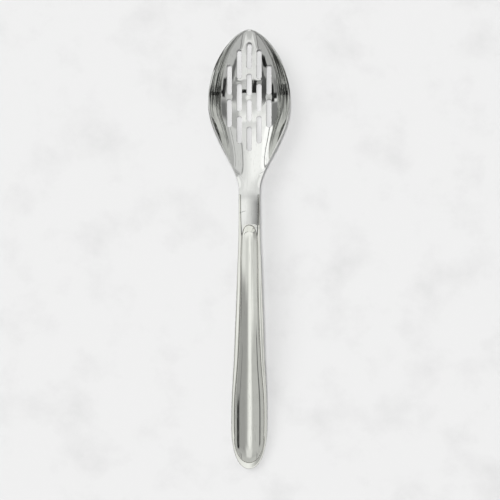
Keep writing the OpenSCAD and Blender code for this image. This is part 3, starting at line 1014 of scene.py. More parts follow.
@dataclass
class SlotStencil:
    """The drain slots' outlines in plan, made by a geometry tree."""

    form: SpoonForm
    segment_mm: float = 0.36
    circle_points: int = 64

    @property
    def sizes(self) -> dict[str, float]:
        """Return the tree's inputs, in millimetres."""
        return {"Slot Width": self.form.slot_width, "Segment Length": self.segment_mm}

    def tree(self) -> Tree:
        """Build the tree: a circle on each slot's centre, pulled apart and cut into steps.

        Returns:
            The tree.
        """
        tree, given = start_tree("Slot stencil", self.sizes)
        add = partial(add_node, tree)
        radius = add("ShaderNodeMath", {0: given.outputs["Slot Width"], 1: 0.5},
                     operation="MULTIPLY")
        circle = add("GeometryNodeMeshCircle",
                     {"Vertices": self.circle_points, "Radius": radius.outputs[0]})
        spot = add("GeometryNodeInputPosition")
        kept = add("GeometryNodeStoreNamedAttribute",
                   {"Geometry": circle.outputs["Mesh"], "Name": "from_centre",
                    "Value": spot.outputs["Position"]},
                   data_type="FLOAT_VECTOR", domain="POINT")
        placed = add("GeometryNodeInstanceOnPoints", {"Points": given.outputs["Geometry"],
                                                      "Instance": kept.outputs["Geometry"]})
        real = add("GeometryNodeRealizeInstances", {"Geometry": placed.outputs["Instances"]})
        local = add("GeometryNodeInputNamedAttribute", {"Name": "from_centre"},
                    data_type="FLOAT_VECTOR")
        parts = add("ShaderNodeSeparateXYZ", {0: local.outputs["Attribute"]})
        sign = add("ShaderNodeMath", {0: parts.outputs["Y"]}, operation="SIGN")
        reach = add("GeometryNodeInputNamedAttribute", {"Name": "half_run"}, data_type="FLOAT")
        shift = add("ShaderNodeMath", {0: sign.outputs[0], 1: reach.outputs["Attribute"]},
                    operation="MULTIPLY")
        offset = add("ShaderNodeCombineXYZ", {"Y": shift.outputs[0]})
        pulled = add("GeometryNodeSetPosition", {"Geometry": real.outputs["Geometry"],
                                                 "Offset": offset.outputs["Vector"]})
        line = add("GeometryNodeMeshToCurve", {"Mesh": pulled.outputs["Geometry"]})
        even = add("GeometryNodeResampleCurve",
                   {"Curve": line.outputs["Curve"], "Length": given.outputs["Segment Length"]},
                   mode="LENGTH")
        rings = add("GeometryNodeCurveToMesh", {"Curve": even.outputs["Curve"]})
        end_tree(tree, given, rings.outputs["Mesh"])
        return tree

    def loops(self) -> list[Array]:
        """Trace the outlines that the tree makes.

        Returns:
            A ring of offsets and stations for each slot, all running the same way round.
        """
        centres = np.array([[x, (start + end) / 2, 0.0] for x, start, end in self.form.slots])
        holder = path_object("slot_points", centres, [])
        runs = holder.data.attributes.new("half_run", "FLOAT", "POINT")
        runs.data.foreach_set("value", [(end - start) / 2 for _, start, end in self.form.slots])
        mesh = evaluate(self.tree(), holder, self.sizes, "slot_stencil")
        spots = np.array([v.co[:2] for v in mesh.vertices])
        near: dict[int, list[int]] = {}
        for a, b in (edge.vertices[:] for edge in mesh.edges):
            near.setdefault(a, []).append(b)
            near.setdefault(b, []).append(a)
        bpy.data.meshes.remove(mesh)
        rings, seen = [], set()
        for start in sorted(near):
            if start in seen:
                continue
            ring, here, last = [start], near[start][0], start
            while here != start:
                ring.append(here)
                here, last = next(n for n in near[here] if n != last), here
            seen.update(ring)
            points = spots[ring]
            ahead = np.roll(points, -1, axis=0)
            area = np.sum(points[:, 0] * ahead[:, 1] - ahead[:, 0] * points[:, 1])
            rings.append(points if area < 0 else points[::-1])
        return rings


@dataclass
class Blade:
    """The stamped bowl with its slots, the neck and the tang."""

    form: SpoonForm
    finish: Material
    rows_per_knot: int = 12
    tang_rows: int = 44
    columns: int = 88
    rim_steps: int = 9
    rim_reach: float = 0.62
    rim_power: float = 2.5
    slot_edge: float = 0.2
    slot_edge_steps: int = 5
    patch_share: float = 0.74
    patch_start: float = 6.0
    patch_after: float = 5.0
    patch_clear: float = 0.28
    ring_share: float = 0.98
    tang_end_rows: int = 13
    tang_reach: float = 0.26
    top_even_share: float = 0.35
    under_even_share: float = 0.15
    arc_share: float = 0.9
    arc_least: float = 0.02
    inset_tries: int = 2
    layout_least: float = 1.0

    def outline(self) -> tuple[Array, Array]:
        """Return the right side's plan outline, and how far its rounded edge reaches out.

        Returns:
            Offsets and stations from the tip to the tang's end, and a reach for each.
        """
        form = self.form
        runs = np.linspace(0.0, form.plan_last, form.plan_last * self.rows_per_knot + 1)
        blade = np.stack([form.plan_half(runs), form.plan_station(runs)], axis=-1)
        start = form.shoulder_station + form.shoulder_step
        straight = np.linspace(start, form.tang_end - form.tang_end_length, self.tang_rows)
        _, run = squared_arc(quarter(self.tang_end_rows), form.tang_power)
        end = form.tang_end - form.tang_end_length * (1 - run)
        stations = np.concatenate([straight, end])
        late = np.maximum(0.0, stations - form.tang_end + form.tang_end_length)
        narrowing = 1 - (late / form.tang_end_length) ** form.tang_power
        half = form.tang(stations) * np.maximum(0.0, narrowing) ** (1 / form.tang_power)
        points = np.concatenate([blade, np.stack([half, stations], axis=-1)])
        thin = 1 - form.stout(points[:, 1])
        return points, self.tang_reach + (self.rim_reach - self.tang_reach) * thin

    def rows(self) -> tuple[Array, Array]:
        """Work out where the sheet's rounded edge starts.

        Returns:
            The inset plan outline of the right side, and the plan directions out of it.
        """
        outline, reach = self.outline()
        whole = np.concatenate([outline[:0:-1] * [-1, 1], outline])
        outward = -outline_normals(whole, False)[len(outline) - 1:]
        outward[0] = outward[-1] = 0.0
        outward[0, 1], outward[-1, 1] = -1.0, 1.0
        plan_reach = reach
        for _ in range(self.inset_tries):
            inset = outline - outward * plan_reach[:, None]
            slope = self.slope(inset, outward)
            plan_reach = reach / np.sqrt(1 + slope ** 2)
        inset[:, 0] = np.maximum(inset[:, 0], 0.0)
        inset[0, 0] = inset[-1, 0] = 0.0
        return inset, outward

    def slope(self, plan: Array, direction: Array) -> Array:
        """Measure the top's slope.

        Args:
            plan: Offsets and stations.
            direction: The plan direction to measure along, for each place.

        Returns:
            The slopes.
        """
        ahead, back = plan + direction * SLOPE_STEP, plan - direction * SLOPE_STEP
        rise = self.form.bowl_top(*ahead.T) - self.form.bowl_top(*back.T)
        return rise / (2 * SLOPE_STEP)

    def columns_across(self, half: Array, even_share: float) -> Array:
        """Spread a side's columns over its width, closer together towards the edges.

        Args:
            half: The half width of each row.
            even_share: How much of the spread is even.

        Returns:
            Offsets in rows and columns.
        """
        even = np.linspace(-1, 1, self.columns + 1)
        return half[:, None] * (even_share * even
                                + (1 - even_share) * np.sin(even * math.pi / 2))

    def build(self) -> Piece:
        """Build the blade as one closed mesh.

        Returns:
            The piece.
        """
        form = self.form
        mesh = SheetMesh(form)
        inset, outward = self.rows()
        x = self.columns_across(inset[:, 0], self.top_even_share)
        s = np.repeat(inset[:, 1:], self.columns + 1, axis=1)
        top = np.stack([x, s, form.bowl_top(x, s)], axis=-1)
        top_normals = surface_normal(form.bowl_top, x, s)
        under = form.blade_under(self.columns_across(inset[:, 0], self.under_even_share), s)
        under_normals = -strip_normals(under, False)
        under_normals[0], under_normals[-1] = -top_normals[0], -top_normals[-1]
        top_numbers = mesh.add(top, top_normals)
        under_numbers = mesh.add(under, under_normals)
        for flip in (1, -1):
            self.rim(mesh, top, under, outward, top_numbers, under_numbers, flip)
        loops = SlotStencil(form).loops()
        rings = [self.slot_edges(mesh, loop) for loop in loops]
        self.patch(mesh, top, top_numbers, [ring[:2] for ring in rings], False)
        self.patch(mesh, under, under_numbers, [ring[2:] for ring in rings], True)
        return mesh.build("spoon_blade", self.finish, layout=self.layout)

    def layout(self, points: Array) -> Array:
        """Lay points out so that lines of one first value follow the rim.

        Args:
            points: Points of offset, station and height.

        Returns:
            Places on the UV map, in metres.
        """
        form = self.form
        run = form.run_of(np.minimum(points[:, 1], form.shoulder_station))
        half = np.maximum(form.plan_half(run), self.layout_least)
        return np.stack([points[:, 0] / half * form.bowl_width / 2, points[:, 1]], axis=-1) * MM

    def rim(self, mesh: SheetMesh, top: Array, under: Array, outward: Array,
            top_numbers: Array, under_numbers: Array, flip: int) -> None:
        """Add the rounded edge of one side, between the top's and the underside's last columns.

        Args:
            mesh: The mesh to add to.
            top: The top's points, in rows.
            under: The underside's points, in rows.
            outward: Plan directions out of the right side.
            top_numbers: The top's point numbers.
            under_numbers: The underside's point numbers.
            flip: 1 for the right side, -1 for the left.
        """
        column = -1 if flip > 0 else 0
        a, b = top[:, column], under[:, column]
        direction = outward * [flip, 1]
        slope = self.slope(a[:, :2], direction)
        out = unit(np.concatenate([direction, slope[:, None]], axis=-1))
        middle, half = (a + b) / 2, (a - b) / 2
        reach = np.linalg.norm(self.outline()[0] * [flip, 1] - a[:, :2], axis=-1) \
            * np.sqrt(1 + slope ** 2)
        most = np.linalg.norm(half, axis=-1) * self.arc_share + self.arc_least
        reach = np.minimum(reach, most)
        turns = np.linspace(0, math.pi, self.rim_steps + 1)[1:-1]
        arc = [middle + half * up + out * (reach * far)[:, None]
               for up, far in zip(*squared_arc(turns, self.rim_power))]
        points = np.stack([a] + arc + [b], axis=1)
        normals = strip_normals(points, False)
        normals *= np.sign(np.sum(normals * out[:, None], axis=-1, keepdims=True))
        inner = mesh.add(points[:, 1:-1], normals[:, 1:-1])
        whole = np.concatenate([top_numbers[:, [column]], inner, under_numbers[:, [column]]],
                               axis=1)
        mesh.grid(whole if flip > 0 else whole[:, ::-1])

    def slot_edges(self, mesh: SheetMesh, loop: Array) -> tuple[Array, Array, Array, Array]:
        """Add one slot's wall with its rounded edges.

        Args:
            mesh: The mesh to add to.
            loop: The slot's outline in plan.

        Returns:
            The plan and the point numbers of the ring on the top, and those on the underside.
        """
        form, edge = self.form, self.slot_edge
        away = outline_normals(loop, True)
        wide = loop + away * edge
        rings = []
        for height, drop in ((form.bowl_top, -edge), (form.blade_under_height, edge)):
            far = np.column_stack([wide, height(*wide.T)])
            corner = np.column_stack([loop, height(*loop.T)])
            wall = corner + [0.0, 0.0, drop]
            steps = np.linspace(0, 1, self.slot_edge_steps + 1)
            rings.append([(1 - u) ** 2 * far + 2 * u * (1 - u) * corner + u * u * wall
                          for u in steps])
        points = np.stack(rings[0] + rings[1][::-1])
        normals = strip_normals(points, True)
        normals *= -np.sign(np.sum(normals[..., :2] * away[None], axis=-1, keepdims=True) + TINY)
        normals[0] = surface_normal(form.bowl_top, *wide.T)
        normals[-1] = -surface_normal(form.blade_under_height, *wide.T)
        numbers = mesh.add(points, normals)
        mesh.grid(numbers[::-1], closed=True)
        return points[0, :, :2], numbers[0], points[-1, :, :2], numbers[-1]

    def patch(self, mesh: SheetMesh, points: Array, numbers: Array,
              rings: list[tuple[Array, Array]], under: bool) -> None:
        """Fill a side of the sheet: a grid, with a triangulated patch round the slots.

        Args:
            mesh: The mesh to add to.
            points: The side's points, in rows.
            numbers: Their point numbers.
            rings: The plan and the point numbers of each slot's ring on this side.
            under: Whether this is the underside, which faces down.
        """
        stations = points[:, self.columns // 2, 1]
        last_slot = max(end for _, _, end in self.form.slots)
        first = int(np.searchsorted(stations, self.patch_start))
        last = int(np.searchsorted(stations, last_slot + self.patch_after))
        spread = np.abs(points[(first + last) // 2, :, 0])
        inside = np.flatnonzero(spread < self.patch_share * spread.max())
        left, right = int(inside[0]), int(inside[-1])
        skip = np.zeros((len(points) - 1, self.columns), bool)
        skip[first:last, left:right] = True
        mesh.grid(numbers[:, ::-1] if under else numbers, skip=skip[:, ::-1] if under else skip)
        border = [(first, j) for j in range(left, right)]
        border += [(i, right) for i in range(first, last)]
        border += [(last, j) for j in range(right, left, -1)]
        border += [(i, left) for i in range(last, first, -1)]
        coords = [points[i, j, :2] for i, j in border]
        names = [int(numbers[i, j]) for i, j in border]
        edges = [(k, (k + 1) % len(border)) for k in range(len(border))]
        frame_line = np.array(coords)
        for ring, ring_numbers in rings:
            base = len(coords)
            coords += list(ring)
            names += ring_numbers.tolist()
            edges += [(base + k, base + (k + 1) % len(ring)) for k in range(len(ring))]
        field = points[first + 1:last, left + 1:right, :2].reshape(-1, 2)
        clear = self.form.slot_distance(*field.T) > self.slot_edge + self.patch_clear
        coords += list(field[clear])
        names += numbers[first + 1:last, left + 1:right].reshape(-1)[clear].tolist()
        flat = [Vector((float(a), float(b))) for a, b in coords]
        found, _, triangles, origins, _, _ = delaunay_2d_cdt(flat, edges, [], 0, CUT_PRECISION)
        spots = np.array([v[:] for v in found])
        cells = np.array(triangles)
        middle = spots[cells].mean(axis=1)
        keep = self.form.slot_distance(*middle.T) > self.slot_edge * self.ring_share
        keep &= within(middle, frame_line)
        area = np.cross(spots[cells[:, 1]] - spots[cells[:, 0]],
                        spots[cells[:, 2]] - spots[cells[:, 0]])
        for cell, size in zip(cells[keep], area[keep]):
            ring = [names[origins[v][0]] for v in cell]
            if (size > 0) != under:
                ring = ring[::-1]
            mesh.faces.append(tuple(ring))


def within(points: Array, line: Array) -> Array:
    """Say which plan points lie inside a closed line, by counting crossings.

    Args:
        points: The points.
        line: The line's corners.

    Returns:
        True for each point inside.
    """
    inside = np.zeros(len(points), bool)
    for a, b in zip(line, np.roll(line, -1, axis=0)):
        crosses = (a[1] > points[:, 1]) != (b[1] > points[:, 1])
        if not crosses.any():
            continue
        at = a[0] + (points[:, 1] - a[1]) / (b[1] - a[1]) * (b[0] - a[0])
        inside ^= crosses & (points[:, 0] < at)
    return inside


@dataclass
class BackShell:
    """The drawn tub under the handle, with its shoulder and the ring round the front shell."""

    form: SpoonForm
    finish: Material
    straight_ribs: int = 190
    stern_ribs: int = 46
    flange_steps: int = 8
    shoulder_steps: int = 7
    belly_steps: int = 22
    bend_share: float = 0.7
    sharp_angle: float = 48.0

    def ribs(self, cut: float) -> Array:
        """Return the points of every rib, from the opening's edge to the keel.

        Args:
            cut: How far the surface lies inside the outer one.

        Returns:
            Ribs and points, of offset, station and height.
        """
        form = self.form
        straight = np.linspace(form.shell_start, form.widest_station, self.straight_ribs)
        narrow, late = squared_arc(quarter(self.stern_ribs), form.stern_power)
        ox = np.concatenate([form.side(straight), form.side(form.widest_station) * narrow])
        os = np.concatenate([straight, form.widest_station + form.stern_length * late])
        hub = np.minimum(os, form.widest_station)
        arm = np.hypot(ox, os - hub)
        inner = self.opening(ox, os, form.seat_overlap)
        flat = self.opening(ox, os, 0.0) + form.ring_dish_gap / arm
        wall = 1 - cut / arm
        bend = inner + (wall - inner) * self.bend_share if cut > 0 \
            else 1 - form.shoulder_radius / arm
        columns = []

        def point(a: Array, z: Array) -> None:
            """Add a point to each rib, a share of the way out and at a height."""
            columns.append(np.stack([a * ox, hub + a * (os - hub), z], axis=-1))

        def seat_on(a: Array) -> Array:
            """Work out the ring's height, dished up a little beyond the front shell.

            Args:
                a: A share of the way out for each rib.

            Returns:
                The heights.
            """
            s = hub + a * (os - hub)
            level = np.minimum(a, flat)
            dish = form.ring_dish * (a - level) * arm
            return form.line(s) - form.fall(s) * level * level + dish

        for share in np.linspace(0, 1, self.flange_steps + 1):
            a = inner + (bend - inner) * share
            point(a, seat_on(a) - cut)
        high = seat_on(bend) - cut
        rim = hub + wall * (os - hub)
        low = form.line(rim) - form.edge_depth(rim, cut)
        for up, out in zip(*squared_arc(quarter(self.shoulder_steps), 2.0)):
            point(bend + (wall - bend) * out, low + (high - low) * up)
        for out, down in zip(*squared_arc(quarter(self.belly_steps), form.belly_power)):
            a = out * wall
            s = hub + a * (os - hub)
            edge = form.edge_depth(s, cut)
            point(a, form.line(s) - edge - (form.belly(s) - cut - edge) * down)
        ribs = np.stack(columns, axis=1)
        ribs[..., 2] = form.rested(ribs[..., 2] - cut) + cut
        left = ribs[-2::-1] * [-1, 1, 1]
        return np.concatenate([ribs, left])

    def opening(self, ox: Array, os: Array, overlap: float) -> Array:
        """Return where a line inside the front shell's outline crosses each rib.

        Args:
            ox: Offsets of the ribs' outer ends.
            os: Stations of the ribs' outer ends.
            overlap: How far the line lies inside the front shell's outline.

        Returns:
            Shares of the way out. Beside the tang, they stop at the seam.
        """
        form = self.form
        tang = np.where(os < form.tang_end, (form.tang(os) + form.seam_gap) / form.side(os), 0.0)
        straight = np.maximum(tang, (form.panel_side(os) - overlap) / form.side(os))
        wide = float(form.panel_side(form.stern_centre)) - overlap
        far = form.panel_end - overlap - form.widest_station
        late = np.maximum(os - form.widest_station, 0.0)
        power = form.panel_power
        stern = 1 / ((ox / wide) ** power + (late / far) ** power) ** (1 / power)
        return np.where(os <= form.widest_station, straight, stern)

    def build(self) -> Piece:
        """Build the shell as one closed mesh.

        Returns:
            The piece.
        """
        mesh = SheetMesh(self.form)
        outer = mesh.add(self.ribs(0.0))
        inner = mesh.add(self.ribs(self.form.shell_gauge))
        mesh.grid(outer[:, ::-1])
        mesh.grid(inner)
        mesh.grid(np.stack([outer[:, 0], inner[:, 0]], axis=1))
        mesh.grid(np.stack([inner[0], outer[0]], axis=0)[:, ::-1])
        mesh.grid(np.stack([outer[-1], inner[-1]], axis=0)[:, ::-1])
        return mesh.build("handle_tub", self.finish, sharp=self.sharp_angle)


@dataclass
class FrontShell:
    """The crowned panel on the handle, with its rolled lip."""

    form: SpoonForm
    finish: Material
    straight_ribs: int = 190
    end_ribs: int = 34
    crown_steps: int = 26
    lip_steps: int = 9
    lip_radius: float = 0.75
    lip_power: float = 2.2
    inside_inset: float = 0.25
    sharp_angle: float = 60.0

    def outline(self) -> tuple[Array, Array, Array]:
        """Return the right half's outline and the hub that each rib runs from.

        Returns:
            Offsets, stations and the hubs' stations.
        """
        form = self.form
        turn = quarter(self.end_ribs)
        nose_left, nose_run = squared_arc(turn[::-1], form.nose_power)
        stern_left, stern_run = squared_arc(turn, form.panel_power)
        straight = np.linspace(form.nose_centre, form.stern_centre, self.straight_ribs)
        os = np.concatenate([form.nose_centre - form.nose_length * nose_run, straight,
                             form.stern_centre + form.panel_stern * stern_run])
        left = np.concatenate([nose_left, np.ones(len(straight)), stern_left])
        return form.panel_side(os) * left, os, np.clip(os, form.nose_centre, form.stern_centre)

    def ribs(self) -> tuple[Array, Array]:
        """Work out the right half's ribs.

        Returns:
            The top's ribs with their lip, and the inside's ribs, as points of offset, station
            and height.
        """
        form = self.form
        ox, os, hub = self.outline()
        arm = np.hypot(ox, os - hub)
        start = 1 - self.lip_radius / arm

        def crowned(edge: Array, gauge: float) -> list[Array]:
            """Run from the ribs' hubs out to an edge, a gauge above the crown.

            Args:
                edge: Where each rib stops, as a share of the way out.
                gauge: The height over the crown's inside.

            Returns:
                The points of all ribs, step by step.
            """
            points = []
            for share in np.linspace(0, 1, self.crown_steps + 1):
                x, s = share * edge * ox, hub + share * edge * (os - hub)
                z = form.seat(x, s) + form.seat_gap + form.crown(x, s) + gauge
                points.append(np.stack([x, s, z], axis=-1))
            return points

        top = crowned(start, form.shell_gauge)
        run = top[-1] - top[-2]
        rise = run[:, 2] / np.maximum(np.hypot(run[:, 0], run[:, 1]), TINY)
        high, seat = top[-1][:, 2], form.seat(ox, os) + form.seat_gap
        for up, out in zip(*squared_arc(quarter(self.lip_steps), self.lip_power)):
            a = start + (1 - start) * out
            z = seat + (high - seat) * up + rise * self.lip_radius * out * up
            top.append(np.stack([a * ox, hub + a * (os - hub), z], axis=-1))
        inside = crowned(1 - self.inside_inset / arm, 0.0)
        return np.stack(top, axis=1), np.stack(inside, axis=1)

    def build(self) -> Piece:
        """Build the panel as one closed mesh.

        Returns:
            The piece.
        """
        mesh = SheetMesh(self.form)
        for flip in (1, -1):
            top, inside = (part * [flip, 1, 1] for part in self.ribs())
            whole = mesh.add(np.concatenate([top, inside[:, ::-1]], axis=1))
            mesh.grid(whole if flip > 0 else whole[:, ::-1])
        return mesh.build("handle_panel", self.finish, sharp=self.sharp_angle)


@dataclass
class WeldBead:
    """A buffed weld bead along a path, swept by a geometry tree."""

    name: str
    finish: Material
    width: float
    height: float
    step_mm: float = 0.4
    ripple: float = 0.12
    seed: int = 4
    sides: int = 10

    @property
    def sizes(self) -> dict[str, float]:
        """Return the tree's inputs, with lengths in metres."""
        return {"Bead Width": self.width * MM, "Bead Height": self.height * MM,
                "Step Length": self.step_mm * MM, "Ripple": self.ripple, "Seed": self.seed}

    def tree(self) -> Tree:
        """Build the tree: the path in even steps, a rippled radius and a round section.

        Returns:
            The tree.
        """
        tree, given = start_tree(self.name + " sweep", self.sizes)
        add = partial(add_node, tree)
        line = add("GeometryNodeMeshToCurve", {"Mesh": given.outputs["Geometry"]})
        even = add("GeometryNodeResampleCurve",
                   {"Curve": line.outputs["Curve"], "Length": given.outputs["Step Length"]},
                   mode="LENGTH")
        low = add("ShaderNodeMath", {0: 1.0, 1: given.outputs["Ripple"]}, operation="SUBTRACT")
        random = add("FunctionNodeRandomValue",
                     {2: low.outputs[0], 3: 1.0, "Seed": given.outputs["Seed"]},
                     data_type="FLOAT")
        rippled = add("GeometryNodeSetCurveRadius",
                      {"Curve": even.outputs["Curve"], "Radius": random.outputs[1]})
        upright = add("GeometryNodeSetCurveNormal", {"Curve": rippled.outputs["Curve"]},
                      mode="Z_UP")
        ring = add("GeometryNodeCurvePrimitiveCircle",
                   {"Resolution": self.sides, "Radius": 0.5}, mode="RADIUS")
        size = add("ShaderNodeCombineXYZ", {"X": given.outputs["Bead Width"],
                                            "Y": given.outputs["Bead Height"], "Z": 1.0})
        shaped = add("GeometryNodeTransform",
                     {"Geometry": ring.outputs["Curve"], "Scale": size.outputs["Vector"]})
        radius = add("GeometryNodeInputRadius")
        swept = add("GeometryNodeCurveToMesh",
                    {"Curve": upright.outputs["Curve"], "Fill Caps": True,
                     "Profile Curve": shaped.outputs["Geometry"],
                     "Scale": radius.outputs["Radius"]})
        end_tree(tree, given, swept.outputs["Mesh"])
        return tree

    def build(self, paths: Sequence[Array], closed: bool) -> Piece:
        """Sweep the bead.

        Args:
            paths: Points in metres, in the model's frame, for each run.
            closed: Whether each run meets its own start.

        Returns:
            The piece.
        """
        edges, base = [], 0
        for path in paths:
            count = len(path)
            edges += [(base + k, base + k + 1) for k in range(count - 1)]
            if closed:
                edges.append((base + count - 1, base))
            base += count
        holder = path_object(self.name + "_path", np.concatenate(paths), edges)
        mesh = evaluate(self.tree(), holder, self.sizes | {"Finish": self.finish}, self.name)
        mesh.polygons.foreach_set("use_smooth", [True] * len(mesh.polygons))
        LOG.info("%s: %d faces", self.name, len(mesh.polygons))
        return show(self.name, mesh)


@dataclass
class Welds:
    """The bead round the front shell and the fills beside the neck."""

    form: SpoonForm
    finish: Material
    bead_size: float = 0.3
    bead_out: float = 0.16
    bead_up: float = 0.08
    fill_width: float = 0.29
    fill_height: float = 0.5
    fill_sink: float = 0.4
    fill_ends: tuple[float, float] = (0.05, 0.1)
    fill_points: int = 40
    fill_ripple: float = 0.1
    fill_seed: int = 9

    def panel_bead(self) -> Piece:
        """Build the bead in the corner between the front shell's lip and the ring.

        Returns:
            The piece.
        """
        form = self.form
        ox, os, _ = FrontShell(form, self.finish).outline()
        right = np.stack([ox, os], axis=-1)
        loop = np.concatenate([right, right[-2:0:-1] * [-1, 1]])
        out = outline_normals(loop, True)
        out *= np.sign(np.sum(out * (loop - loop.mean(axis=0)), axis=-1, keepdims=True))
        spot = loop + out * self.bead_out
        z = form.seat(*spot.T) + form.seat_gap + self.bead_up
        bead = WeldBead("panel_weld_bead", self.finish, self.bead_size, self.bead_size)
        return bead.build([form.placed(np.column_stack([spot, z]))], True)

    def neck_fills(self) -> Piece:
        """Build the two fills in the grooves beside the neck.

        Returns:
            The piece.
        """
        form = self.form
        after, before = self.fill_ends
        s = np.linspace(form.shell_start + after, form.nose_station - before, self.fill_points)
        x = form.tang(s) + form.seam_gap / 2
        z = form.seat(x, s) - self.fill_sink
        fills = WeldBead("neck_weld_fills", self.finish, self.fill_width, self.fill_height,
                         ripple=self.fill_ripple, seed=self.fill_seed)
        return fills.build([form.placed(np.stack([flip * x, s, z], axis=-1))
                            for flip in (-1, 1)], False)


# The studio

STUDIO_STRENGTH = 1.67


@dataclass(frozen=True)
class PaleStone:
    """Honed white stone, which gives a near-white matt ground with faint grey clouds."""

    colour: str = "#8B8B8B"
    cloud_colour: str = "#828282"
    cloud: Grain = Grain(45.0, 6.0, 0.62)
    cloud_levels: tuple[float, float] = (0.5, 0.8)
    roughness: float = 0.75

    def build(self) -> Material:
        """Build the table's material.

        Returns:
            The material.
        """
        material = bpy.data.materials.new("honed_white_stone")
        add = partial(add_node, emptied(material))
        place = add("ShaderNodeTexCoord").outputs["Object"]
        clouds = add("ShaderNodeTexNoise", self.cloud.at(place))
        least, most = self.cloud_levels
        amount = add("ShaderNodeMapRange",
                     {"Value": clouds.outputs["Fac"], "From Min": least, "From Max": most})
        tint = add("ShaderNodeMix", {"Factor": amount.outputs["Result"], 6: linear(self.colour),
                                     7: linear(self.cloud_colour)}, data_type="RGBA")
        shader = add("ShaderNodeBsdfPrincipled",
                     {"Base Color": tint.outputs[2], "Roughness": self.roughness})
        add("ShaderNodeOutputMaterial", {"Surface": shader.outputs["BSDF"]})
        return material


@dataclass(frozen=True)
class SoftPanel:
    """A soft-edged panel of the studio, as polished steel under it shows it.

    Places are in slope coordinates: how steep the steel has to be, to the right and towards the
    bowl's tip, for the camera above to see that part of the studio in it.
    """

    across: float
    along: float
    half_width: float
    half_height: float
    soft: float
    colour: str
    turn: float = 0.0


@dataclass(frozen=True)
class PaintedReflectionSheet:
    """A painted reflection: a sheet hung near the spoon that polished steel alone sees.

    It is hidden from the camera, casts no shadow and lights nothing. Dark, grey or glowing pale,
    it paints dark bands and bright patches into what the steel shows. It runs from west to east,
    and from a start to an end that each have a place towards the bowl's tip and a height. Its
    density thins out within the soft widths along its four sides.
    """

    name: str
    west_mm: float
    east_mm: float
    start_mm: tuple[float, float]
    end_mm: tuple[float, float]
    soft_mm: tuple[float, float, float, float] = (0.5, 0.5, 0.5, 0.5)
    colour: str = "#262626"
    density: float = 1.0
    ramp_mm: tuple[float, float] | None = None

    def build(self) -> Piece:
        """Build the painted reflection sheet.

        Returns:
            The sheet, which the camera, diffuse light and shadows don't see.
        """
        length = math.dist(self.start_mm, self.end_mm)
        corners_mm = ((self.west_mm, 0.0), (self.east_mm, 0.0),
                      (self.east_mm, length), (self.west_mm, length))
        mesh = bpy.data.meshes.new(self.name)
        mesh.from_pydata([(x * MM, *(Vector(self.end_mm if along else self.start_mm) * MM))
                          for x, along in corners_mm], [], [(0, 1, 2, 3)])
        layer = mesh.uv_layers.new(name="layout")
        for loop, corner in zip(layer.uv, corners_mm):
            loop.vector = corner
        mesh.materials.append(self.painted_reflection_material(length))
        painted_sheet = show(self.name, mesh)
        # Hidden from the camera, diffuse light and shadows: only a painted reflection in the steel.
        painted_sheet.visible_camera = painted_sheet.visible_diffuse = painted_sheet.visible_shadow = False
        return painted_sheet

    def painted_reflection_material(self, length: float) -> Material:
        """Build the sheet's material: an even painted glow, open where its density is low.

        Args:
            length: How long the sheet is, in millimetres.

        Returns:
            The material, on the net's UV map.
        """
        material = bpy.data.materials.new(self.name + "_painted_reflection")
        add = partial(add_node, emptied(material))
        spot = add("ShaderNodeUVMap", uv_map="layout").outputs["UV"]
        parts = add("ShaderNodeSeparateXYZ", {0: spot})
        west, east, start, end = self.soft_mm
        ends = [("X", self.west_mm, self.west_mm + west), ("X", self.east_mm, self.east_mm - east),
                ("Y", 0.0, start), ("Y", length, length - end)]
        shares = [(axis, thin, full, "SMOOTHSTEP") for axis, thin, full in ends]
        if self.ramp_mm:
            shares.append(("X", *self.ramp_mm, "LINEAR"))
        dense: float | Socket = self.density
        for axis, thin, full, run in shares:
            share = add("ShaderNodeMapRange",
                        {"Value": parts.outputs[axis], "From Min": thin, "From Max": full},
                        interpolation_type=run)
            dense = add("ShaderNodeMath", {0: dense, 1: share.outputs[0]},
                        operation="MULTIPLY").outputs[0]
        # The sheet's painted glow, which shows only in the steel's reflection.
        painted_glow = add("ShaderNodeEmission",
                     {"Color": linear(self.colour), "Strength": STUDIO_STRENGTH})
        gap = add("ShaderNodeBsdfTransparent")
        both = add("ShaderNodeMixShader", {0: dense, 1: gap.outputs[0], 2: painted_glow.outputs[0]})
        add("ShaderNodeOutputMaterial", {"Surface": both.outputs[0]})
        return material


@dataclass(frozen=True)
class Lamp:
    """A soft light that falls on the table, and that the steel doesn't show.

    It fills an angle of spread in radians, and leans by its tilt in degrees towards the bowl's
    tip and to the left.
    """

    name: str
    strength: float
    spread: float
    tilt: tuple[float, float] = (0.0, 0.0)

    def build(self) -> None:
        """Hang the light."""
        data = bpy.data.lights.new(self.name, "SUN")
        data.energy, data.angle = self.strength, self.spread
        light = show(self.name, data)
        light.rotation_euler = (math.radians(-self.tilt[0]), math.radians(-self.tilt[1]), 0.0)
        light.visible_glossy = False


